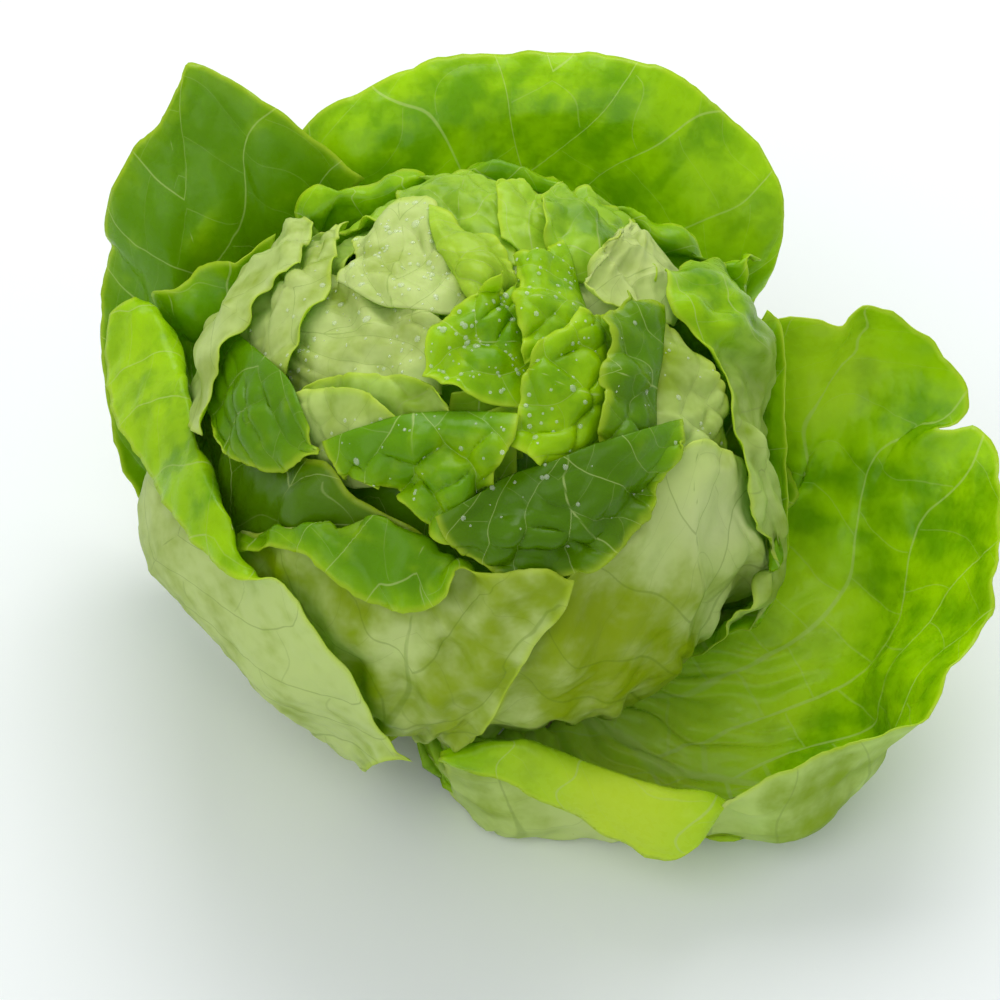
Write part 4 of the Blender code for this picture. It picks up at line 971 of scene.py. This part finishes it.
def leaf_material(name, group, look):
    """A leaf's finish: saturated upper side, grey-green underside, veins, yellow rim, painted shade,
    painted highlight and glow, light through it.
    """
    material = bpy.data.materials.new(name)
    material.use_nodes = True
    wires = Wires(material.node_tree)
    shader = material.node_tree.nodes["Principled BSDF"]
    ending = material.node_tree.nodes["Material Output"]
    place = wires.add("ShaderNodeTexCoord").outputs["Object"]
    veins = wires.add("ShaderNodeGroup", node_tree=group)
    for key, field in (("Run", "run"), ("Cross", "cross"), ("Middle", "middle"), ("Reach", "reach")):
        wires.put(veins.inputs[key], wires.field(field))
    under, tint_and_painted_light, rim, reach = (wires.field(key) for key in ("under", "tint_and_painted_light", "rim", "reach"))
    grain = wires.noise(place, 420.0, detail=1.0)
    mottle = wires.plus(wires.times(wires.field("patch"), 0.75), wires.times(grain, 0.25))
    # The random mottle plus the tone, so it carries painted light and shade as well as tint.
    lean = wires.plus(mottle, wires.times(tint_and_painted_light, 0.2))
    upper = wires.blend(wires.faded(lean, 0.28, 0.72), look["deep"], look["fresh"])
    upper = wires.blend(wires.times(veins.outputs["Cells"], 0.3), upper, look["deep"])
    upper = wires.blend(wires.faded(rim, 0.5, 8.0, 0.45, 0.0), upper, look["fresh"])
    # Painted shade: a low tone mixes in a darker copy of the deep green.
    upper = wires.blend(wires.faded(tint_and_painted_light, -2.2, -0.5, 0.8, 0.0), upper, look["shade"])
    # Young leaves are yellower, and a high tone also paints a yellow glow where a leaf should look lit.
    yellow_tint_and_glow = wires.plus(wires.faded(tint_and_painted_light, 0.2, 0.9, 0.0, 0.45), wires.faded(tint_and_painted_light, 1.0, 1.9, 0.0, 0.5))
    upper = wires.blend(yellow_tint_and_glow, upper, look["yellow"])
    low = wires.faded(reach, 0.05, 0.5, 1.0, 0.0)
    upper = wires.blend(wires.times(low, 0.4), upper, look["white"])
    upper = wires.blend(wires.times(veins.outputs["Veins"], 0.55), upper, look["vein"])
    lower = wires.blend(wires.faded(lean, 0.1, 0.8), look["olive"], look["grey"])
    # Painted highlight: where the tone is high the underside turns a pale silvery green.
    lower = wires.blend(wires.faded(tint_and_painted_light, 1.0, 2.2, 0.0, 0.6), lower, look["silver"])
    lower = wires.blend(wires.times(low, 0.6), lower, look["yellow"])
    # Veins seen from below are darkened: partly their own colour, partly painted shade beside the raised
    # ribs.
    lower = wires.blend(wires.times(veins.outputs["Veins"], 0.34), lower, look["shaded_vein_below"])
    colour = wires.blend(under, upper, lower)
    edge = wires.faded(rim, 0.1, 2.2, 0.5, 0.0)
    colour = wires.blend(edge, colour, look["yellow"])
    wires.put(shader.inputs["Base Color"], colour)
    dull = wires.plus(grain, wires.times(under, 0.3))
    wires.put(shader.inputs["Roughness"], wires.faded(dull, 0.3, 1.0, 0.24, 0.48))
    shader.inputs["IOR"].default_value = 1.42
    shader.inputs["Specular IOR Level"].default_value = 0.35
    bump = wires.add("ShaderNodeBump")
    bump.inputs["Strength"].default_value = 0.55
    bump.inputs["Distance"].default_value = 0.0006
    wires.put(bump.inputs["Height"], wires.times(grain, 0.5))
    wires.put(shader.inputs["Normal"], bump.outputs["Normal"])
    through = wires.add("ShaderNodeBsdfTranslucent")
    wires.put(through.inputs["Color"], wires.blend(0.35, colour, look["through"]))
    mixed = wires.add("ShaderNodeMixShader")
    mixed.inputs[0].default_value = look["light_through"]
    material.node_tree.links.new(shader.outputs[0], mixed.inputs[1])
    material.node_tree.links.new(through.outputs[0], mixed.inputs[2])
    material.node_tree.links.new(mixed.outputs[0], ending.inputs["Surface"])
    return material


def look_of(sizes):
    """The leaf colours that the user may change, and the fixed ones that go with them: a painted shade and
    a painted highlight.
    """
    names = ("deep", "fresh", "yellow", "grey", "olive", "white", "vein", "shaded_vein_below", "through")
    look = {name: (*getattr(sizes, name), 1.0) for name in names}
    # A darker copy of the deep green, for painted shade.
    look["shade"] = (*(0.45 * part for part in sizes.deep), 1.0)
    # Pale colour for the painted highlight on undersides.
    look["silver"] = (0.92, 0.98, 0.55, 1.0)
    look["light_through"] = sizes.light_through
    return look


def leaf_finish(slot, sizes):
    """The material for a slot, made once."""
    name = "veined_" + slot
    if name in bpy.data.materials:
        return bpy.data.materials[name]
    group = bpy.data.node_groups.get("leaf_veins") or vein_group()
    return leaf_material(name, group, look_of(sizes))


def lay_leaves(leaves, slot_names, sizes, seed):
    """Lay these leaves one after another, each clear of all that are laid, and finish them."""
    for index, (nodes, rows, cells, finish) in enumerate(leaves):
        own_seed = seed + 31 * index
        grid = waved(lofted(rows, *cells), finish, own_seed)
        grid = lifted_clear(grid, stack_of(laid))
        laid.append(grid)
        fine, fields = finished(grid, finish, own_seed)
        piece = blade_object(nodes[0] + "_blade", fine, fields, finish, sizes)
        slot = slot_names(finish)
        piece.data.materials.append(leaf_finish(slot, sizes))
        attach(piece, "root")
        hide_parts(*nodes)
        fine_leaves[nodes[0]] = (fine, fields)


def slot_for(finish):
    if finish["under"] >= 0.75:
        return "leaf_pale"
    return "leaf_bright" if finish["tint_and_painted_light"] > 0.05 else "leaf_green"


def core_rows(count, steps):
    """Rings round the core from the bottom up."""
    return [ring(180, 180, latitude, CORE_SHARE, count) for latitude in np.linspace(-88, 88, steps)]


class LettuceSizes(bpy.types.PropertyGroup):
    """What a user may change."""

    blade_thickness: bpy.props.FloatProperty(
        name="Blade thickness", description="How thick a leaf is away from its rim", default=0.0006,
        unit="LENGTH", precision=5)
    rim_thickness: bpy.props.FloatProperty(
        name="Rim thickness", description="How thick a leaf is at its free rim", default=0.00035,
        unit="LENGTH", precision=5)
    rib_height: bpy.props.FloatProperty(
        name="Midrib height", description="How far the midrib stands out under a leaf", default=0.0012,
        unit="LENGTH", precision=5)
    drop_count: bpy.props.IntProperty(
        name="Water drops", description="How many drops lie on the leaves", default=420)
    drop_radius: bpy.props.FloatProperty(
        name="Drop radius", description="Radius of a middling drop", default=0.00045,
        unit="LENGTH", precision=5)
    light_through: bpy.props.FloatProperty(
        name="Light through", description="How much of the light goes through a leaf", default=0.38)
    deep: bpy.props.FloatVectorProperty(
        name="Deep green", description="Darker upper side", subtype="COLOR", default=(0.18, 0.45, 0.0))
    fresh: bpy.props.FloatVectorProperty(
        name="Fresh green", description="Lighter upper side", subtype="COLOR", default=(0.44, 0.76, 0.0))
    yellow: bpy.props.FloatVectorProperty(
        name="Yellow green", description="Rims and young leaves", subtype="COLOR",
        default=(0.72, 0.90, 0.05))
    grey: bpy.props.FloatVectorProperty(
        name="Grey green", description="Lighter underside", subtype="COLOR", default=(0.76, 0.88, 0.32))
    olive: bpy.props.FloatVectorProperty(
        name="Olive", description="Darker underside", subtype="COLOR", default=(0.38, 0.53, 0.0))
    white: bpy.props.FloatVectorProperty(
        name="Leaf base", description="Where a leaf grows from the stem", subtype="COLOR",
        default=(0.60, 0.76, 0.14))
    vein: bpy.props.FloatVectorProperty(
        name="Veins above", description="Veins seen from the upper side", subtype="COLOR",
        default=(0.66, 0.82, 0.26))
    # Vein colour seen from below, darkened partly as painted shade beside the raised ribs.
    shaded_vein_below: bpy.props.FloatVectorProperty(
        name="Veins below", description="Veins seen from the underside", subtype="COLOR",
        default=(0.15, 0.28, 0.0))
    through: bpy.props.FloatVectorProperty(
        name="Light through", description="Tint of light that has gone through a leaf", subtype="COLOR",
        default=(0.68, 0.88, 0.0))
    floor: bpy.props.FloatVectorProperty(
        name="Floor", description="Floor colour", subtype="COLOR", default=(0.90, 0.93, 0.94))


def heart_core(sizes):
    """The creased middle, with steady fields for its finish."""
    bm = bmesh.new()
    bmesh.ops.create_uvsphere(bm, u_segments=96, v_segments=64, radius=1.0)
    for vert in bm.verts:
        way = np.array(vert.co)
        point = HEAD_MIDDLE + CORE_SHARE * HEAD_AXES * way
        crease = 1 + HEART_CREASE * swell(point, HEART_CREASE_SIZE, 900)
        vert.co = Vector((HEAD_MIDDLE + CORE_SHARE * HEAD_AXES * way * crease) * MM)
    mesh = bpy.data.meshes.new("heart")
    bm.to_mesh(mesh)
    bm.free()
    mesh.shade_smooth()
    places = np.array([tuple(vert.co) for vert in mesh.vertices]) / MM
    steady = dict(middle=20.0, reach=0.8, rim=20.0, under=0.0, patch=0.3, tint_and_painted_light=-1.2)
    fields = {key: np.full(len(places), value) for key, value in steady.items()}
    fields["run"] = swell(places, 22, 901) * 2
    fields["cross"] = swell(places, 18, 902) * 2
    for key, value in fields.items():
        mesh.attributes.new(key, "FLOAT", "POINT").data.foreach_set("value", value.astype(np.float32))
    mesh.materials.append(leaf_finish("leaf_green", sizes))
    return bpy.data.objects.new("heart_middle", mesh)


class LETTUCE_OT_heart(bpy.types.Operator):
    """Build the dense middle with its small leaves"""

    bl_idname = "lettuce.heart"
    bl_label = "Heart"

    def execute(self, context):
        sizes = context.scene.lettuce
        finish = dict(spacing=(10, 8), pucker=0.4, under=0.1, tint_and_painted_light=0.0, start=0.5, curl=0.5)
        laid.clear()
        laid.append(np.array(core_rows(60, 40)))
        core = heart_core(sizes)
        context.scene.collection.objects.link(core)
        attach(core, "root")
        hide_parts("heart")
        for index, (rows, cells) in enumerate(heart_leaves()):
            grid = lofted(rows, *cells)
            laid.append(grid)
            own = dict(finish, tint_and_painted_light=1.6, under=1.0) if index == 0 else finish
            fine, fields = finished(grid, own, 700 + index)
            piece = blade_object(f"heart_leaf_{index + 1}", fine, fields, own, sizes)
            piece.data.materials.append(leaf_finish("leaf_green", sizes))
            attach(piece, "root")
        return {"FINISHED"}


class LETTUCE_OT_inner_leaves(bpy.types.Operator):
    """Lay the short leaves of the middle on the heart"""

    bl_idname = "lettuce.inner_leaves"
    bl_label = "Inner leaves"

    def execute(self, context):
        lay_leaves(inner_leaves(), slot_for, context.scene.lettuce, 100)
        return {"FINISHED"}


class LETTUCE_OT_head_leaves(bpy.types.Operator):
    """Lay the outer leaves of the closed head"""

    bl_idname = "lettuce.head_leaves"
    bl_label = "Head leaves"

    def execute(self, context):
        lay_leaves(head_leaves(), slot_for, context.scene.lettuce, 2100)
        return {"FINISHED"}


class LETTUCE_OT_wrapper_leaves(bpy.types.Operator):
    """Lay the loose leaves round the head"""

    bl_idname = "lettuce.wrapper_leaves"
    bl_label = "Wrapper leaves"

    def execute(self, context):
        lay_leaves(wrapper_leaves(), slot_for, context.scene.lettuce, 4100)
        return {"FINISHED"}


class LETTUCE_OT_stem(bpy.types.Operator):
    """Build the cut stem"""

    bl_idname = "lettuce.stem"
    bl_label = "Stem"

    def execute(self, context):
        bm = bmesh.new()
        bmesh.ops.create_cone(
            bm, cap_ends=True, segments=96, radius1=BUTT_RADIUS * MM, radius2=STEM_TOP_RADIUS * MM,
            depth=STEM_TOP * MM,
        )
        rims = [edge for edge in bm.edges if abs(edge.verts[0].co.z - edge.verts[1].co.z) < 1e-6]
        bmesh.ops.bevel(
            bm, geom=rims, affect="EDGES", offset=BUTT_BEVEL * MM, offset_type="OFFSET", segments=4,
            profile=0.5, material=-1,
        )
        lean = HEAD_MIDDLE / HEAD_MIDDLE[2]
        for vert in bm.verts:
            height = vert.co.z / MM + STEM_TOP / 2
            way = math.atan2(vert.co.y, vert.co.x)
            bulge = 1 + 0.035 * math.sin(5 * way + 0.4) + 0.02 * math.sin(9 * way)
            vert.co.x *= bulge
            vert.co.y *= bulge
            vert.co += Vector((lean[0] * height * MM, lean[1] * height * MM, STEM_TOP / 2 * MM))
        mesh = bpy.data.meshes.new("stem_cut")
        bm.to_mesh(mesh)
        bm.free()
        mesh.shade_smooth()
        piece = bpy.data.objects.new("stem_cut", mesh)
        context.scene.collection.objects.link(piece)
        piece.data.materials.append(stem_material())
        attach(piece, "root")
        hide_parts("stem")
        return {"FINISHED"}


def stem_material():
    """Pale, watery stem with a browned cut and streaks."""
    material = bpy.data.materials.new("streaked_stem")
    material.use_nodes = True
    wires = Wires(material.node_tree)
    shader = material.node_tree.nodes["Principled BSDF"]
    place = wires.add("ShaderNodeTexCoord").outputs["Object"]
    streaks = wires.noise(place, 260.0)
    split = wires.add("ShaderNodeSeparateXYZ")
    wires.put(split.inputs[0], place)
    browned = wires.faded(split.outputs["Z"], 0.0002, 0.0022, 0.75, 0.0)
    radius = wires.math("SQRT", wires.plus(wires.math("POWER", split.outputs["X"], 2.0),
                                           wires.math("POWER", split.outputs["Y"], 2.0)))
    rings = wires.math("ABSOLUTE", wires.minus(radius, 0.0105))
    ring_mask = wires.faded(rings, 0.0004, 0.0014, 0.6, 0.0)
    pale = wires.blend(streaks, (0.60, 0.66, 0.38, 1), (0.80, 0.82, 0.60, 1))
    brown = wires.blend(streaks, (0.42, 0.27, 0.12, 1), (0.62, 0.46, 0.24, 1))
    colour = wires.blend(wires.times(browned, wires.plus(streaks, ring_mask)), pale, brown)
    wires.put(shader.inputs["Base Color"], colour)
    wires.put(shader.inputs["Roughness"], wires.faded(streaks, 0.2, 0.8, 0.38, 0.6))
    shader.inputs["Subsurface Weight"].default_value = 0.2
    shader.inputs["Subsurface Scale"].default_value = 0.002
    return material


def water_material():
    """Pale, mostly see-through beads whose whitish colour is a painted glint."""
    material = bpy.data.materials.new("water")
    material.use_nodes = True
    wires = Wires(material.node_tree)
    shader = material.node_tree.nodes["Principled BSDF"]
    clear = wires.noise(wires.add("ShaderNodeTexCoord").outputs["Object"], 900.0)
    # Painted glint: the drops are given a pale whitish colour in place of the glints of clear water.
    painted_glint = wires.blend(clear, (0.80, 0.92, 0.62, 1), (0.92, 0.98, 0.84, 1))
    wires.put(shader.inputs["Base Color"], painted_glint)
    wires.put(shader.inputs["Roughness"], wires.faded(clear, 0.2, 0.8, 0.02, 0.08))
    shader.inputs["Alpha"].default_value = 0.3
    shader.inputs["IOR"].default_value = 1.6
    return material


class LETTUCE_OT_water_drops(bpy.types.Operator):
    """Scatter water drops on the leaves of the middle"""

    bl_idname = "lettuce.water_drops"
    bl_label = "Water drops"

    def execute(self, context):
        sizes = context.scene.lettuce
        wet = {
            "inner_leaf_droplet_back": 5, "inner_leaf_left_low": 5, "inner_leaf_droplet_middle": 3,
            "inner_leaf_middle": 2, "inner_leaf_middle_front": 2, "inner_leaf_narrow_fold": 1,
            "inner_leaf_right": 2, "inner_leaf_left_round": 1, "inner_leaf_pocket": 1,
            "head_leaf_front_bright": 1, "inner_leaf_left_triangle": 2,
        }
        if not all(name in fine_leaves for name in wet):
            raise RuntimeError("lay the inner and the head leaves before the water drops")
        chance = np.random.default_rng(77)
        cover = stack_of(laid)
        names = [name for name, share in wet.items() for _ in range(share)]
        bm = bmesh.new()
        made = 0
        for _ in range(sizes.drop_count * DROP_TRIES):
            if made >= sizes.drop_count:
                break
            grid, fields = fine_leaves[names[chance.integers(len(names))]]
            i, j = chance.integers(1, grid.shape[0] - 1), chance.integers(1, grid.shape[1] - 1)
            along = grid[i + 1, j] - grid[i - 1, j]
            across = grid[i, j + 1] - grid[i, j - 1]
            facing = np.cross(across, along)
            facing /= np.linalg.norm(facing)
            to_eye = EYE - grid[i, j]
            distance = np.linalg.norm(to_eye)
            lift = DROP_ABOVE
            if facing @ to_eye < 0:
                facing, lift = -facing, DROP_BELOW
            if facing @ to_eye / distance < DROP_LEAST_FACING or fields["rim"][i, j] < DROP_OFF_RIM:
                continue
            hit = cover.ray_cast(Vector(EYE), Vector(-to_eye / distance), distance - SEEN_WITHIN)
            if hit[0] is not None:
                continue
            radius = sizes.drop_radius * float(chance.lognormal(-0.1, 0.42))
            turn = Vector(facing).to_track_quat("Z", "Y").to_matrix().to_4x4()
            size = Matrix.Diagonal((radius, radius, radius * DROP_FLATNESS, 1))
            spot = Matrix.Translation(Vector((grid[i, j] + facing * lift) * MM))
            bmesh.ops.create_uvsphere(bm, u_segments=8, v_segments=5, radius=1.0, matrix=spot @ turn @ size)
            made += 1
        mesh = bpy.data.meshes.new("water_drops")
        bm.to_mesh(mesh)
        bm.free()
        mesh.shade_smooth()
        piece = bpy.data.objects.new("water_drops", mesh)
        context.scene.collection.objects.link(piece)
        piece.data.materials.append(water_material())
        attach(piece, "root")
        return {"FINISHED"}


def floor_material(sizes):
    """Nearly even, pale and dull."""
    material = bpy.data.materials.new("floor_white")
    material.use_nodes = True
    wires = Wires(material.node_tree)
    shader = material.node_tree.nodes["Principled BSDF"]
    soft = wires.noise(wires.add("ShaderNodeTexCoord").outputs["Object"], 3.0)
    darker = tuple(part * 0.985 for part in sizes.floor)
    wires.put(shader.inputs["Base Color"], wires.blend(soft, (*sizes.floor, 1.0), (*darker, 1.0)))
    shader.inputs["Roughness"].default_value = 0.6
    return material


class LETTUCE_OT_stage(bpy.types.Operator):
    """Set up the floor, the soft light and the camera"""

    bl_idname = "lettuce.stage"
    bl_label = "Stage"

    def execute(self, context):
        scene = context.scene
        sizes = scene.lettuce
        bm = bmesh.new()
        bmesh.ops.create_grid(bm, x_segments=1, y_segments=1, size=6.0)
        mesh = bpy.data.meshes.new("floor")
        bm.to_mesh(mesh)
        bm.free()
        floor = bpy.data.objects.new("floor", mesh)
        scene.collection.objects.link(floor)
        mesh.materials.append(floor_material(sizes))
        world = bpy.data.worlds.new("studio")
        world.use_nodes = True
        world.node_tree.nodes["Background"].inputs["Color"].default_value = (0.96, 0.985, 1.0, 1)
        world.node_tree.nodes["Background"].inputs["Strength"].default_value = 0.56
        scene.world = world
        for name, place, size, power in LAMPS:
            lamp = bpy.data.lights.new(name, "AREA")
            lamp.size = size
            lamp.energy = power
            lamp.color = (1.0, 0.995, 0.98)
            shown = bpy.data.objects.new(name, lamp)
            shown.location = place
            aim = Vector((0, 0, 0.06)) - Vector(place)
            shown.rotation_euler = aim.to_track_quat("-Z", "Y").to_euler()
            scene.collection.objects.link(shown)
        camera = bpy.data.objects.new("viewer", bpy.data.cameras.new("viewer"))
        camera.data.sensor_width = SENSOR
        camera.data.lens = SENSOR / 2 / (PICTURE_HALF / VIEW_DISTANCE)
        camera.data.clip_end = 100.0
        camera.data.dof.use_dof = False
        turn = Matrix((ACROSS, UP, -AHEAD)).transposed().to_4x4()
        camera.matrix_world = Matrix.Translation(Vector(EYE * MM)) @ turn
        scene.collection.objects.link(camera)
        scene.camera = camera
        scene.view_settings.view_transform = "Standard"
        return {"FINISHED"}


class LETTUCE_PT_panel(bpy.types.Panel):
    """The sizes and the steps, in the order in which they are run"""

    bl_label = "Lettuce head"
    bl_space_type = "VIEW_3D"
    bl_region_type = "UI"
    bl_category = "Lettuce"

    def draw(self, context):
        for key in LettuceSizes.__annotations__:
            self.layout.prop(context.scene.lettuce, key)
        for step in STEPS:
            self.layout.operator(step.bl_idname)


STEPS = (
    LETTUCE_OT_heart, LETTUCE_OT_inner_leaves, LETTUCE_OT_head_leaves, LETTUCE_OT_wrapper_leaves,
    LETTUCE_OT_stem, LETTUCE_OT_water_drops, LETTUCE_OT_stage,
)


def register():
    for made in (LettuceSizes, *STEPS, LETTUCE_PT_panel):
        bpy.utils.register_class(made)
    bpy.types.Scene.lettuce = bpy.props.PointerProperty(type=LettuceSizes)


def unregister():
    del bpy.types.Scene.lettuce
    for made in reversed((LettuceSizes, *STEPS, LETTUCE_PT_panel)):
        bpy.utils.unregister_class(made)


def main():
    register()
    bpy.ops.lettuce.heart()
    bpy.ops.lettuce.inner_leaves()
    bpy.ops.lettuce.head_leaves()
    bpy.ops.lettuce.wrapper_leaves()
    bpy.ops.lettuce.stem()
    bpy.ops.lettuce.water_drops()
    bpy.ops.lettuce.stage()


if __name__ == "__main__":
    main()
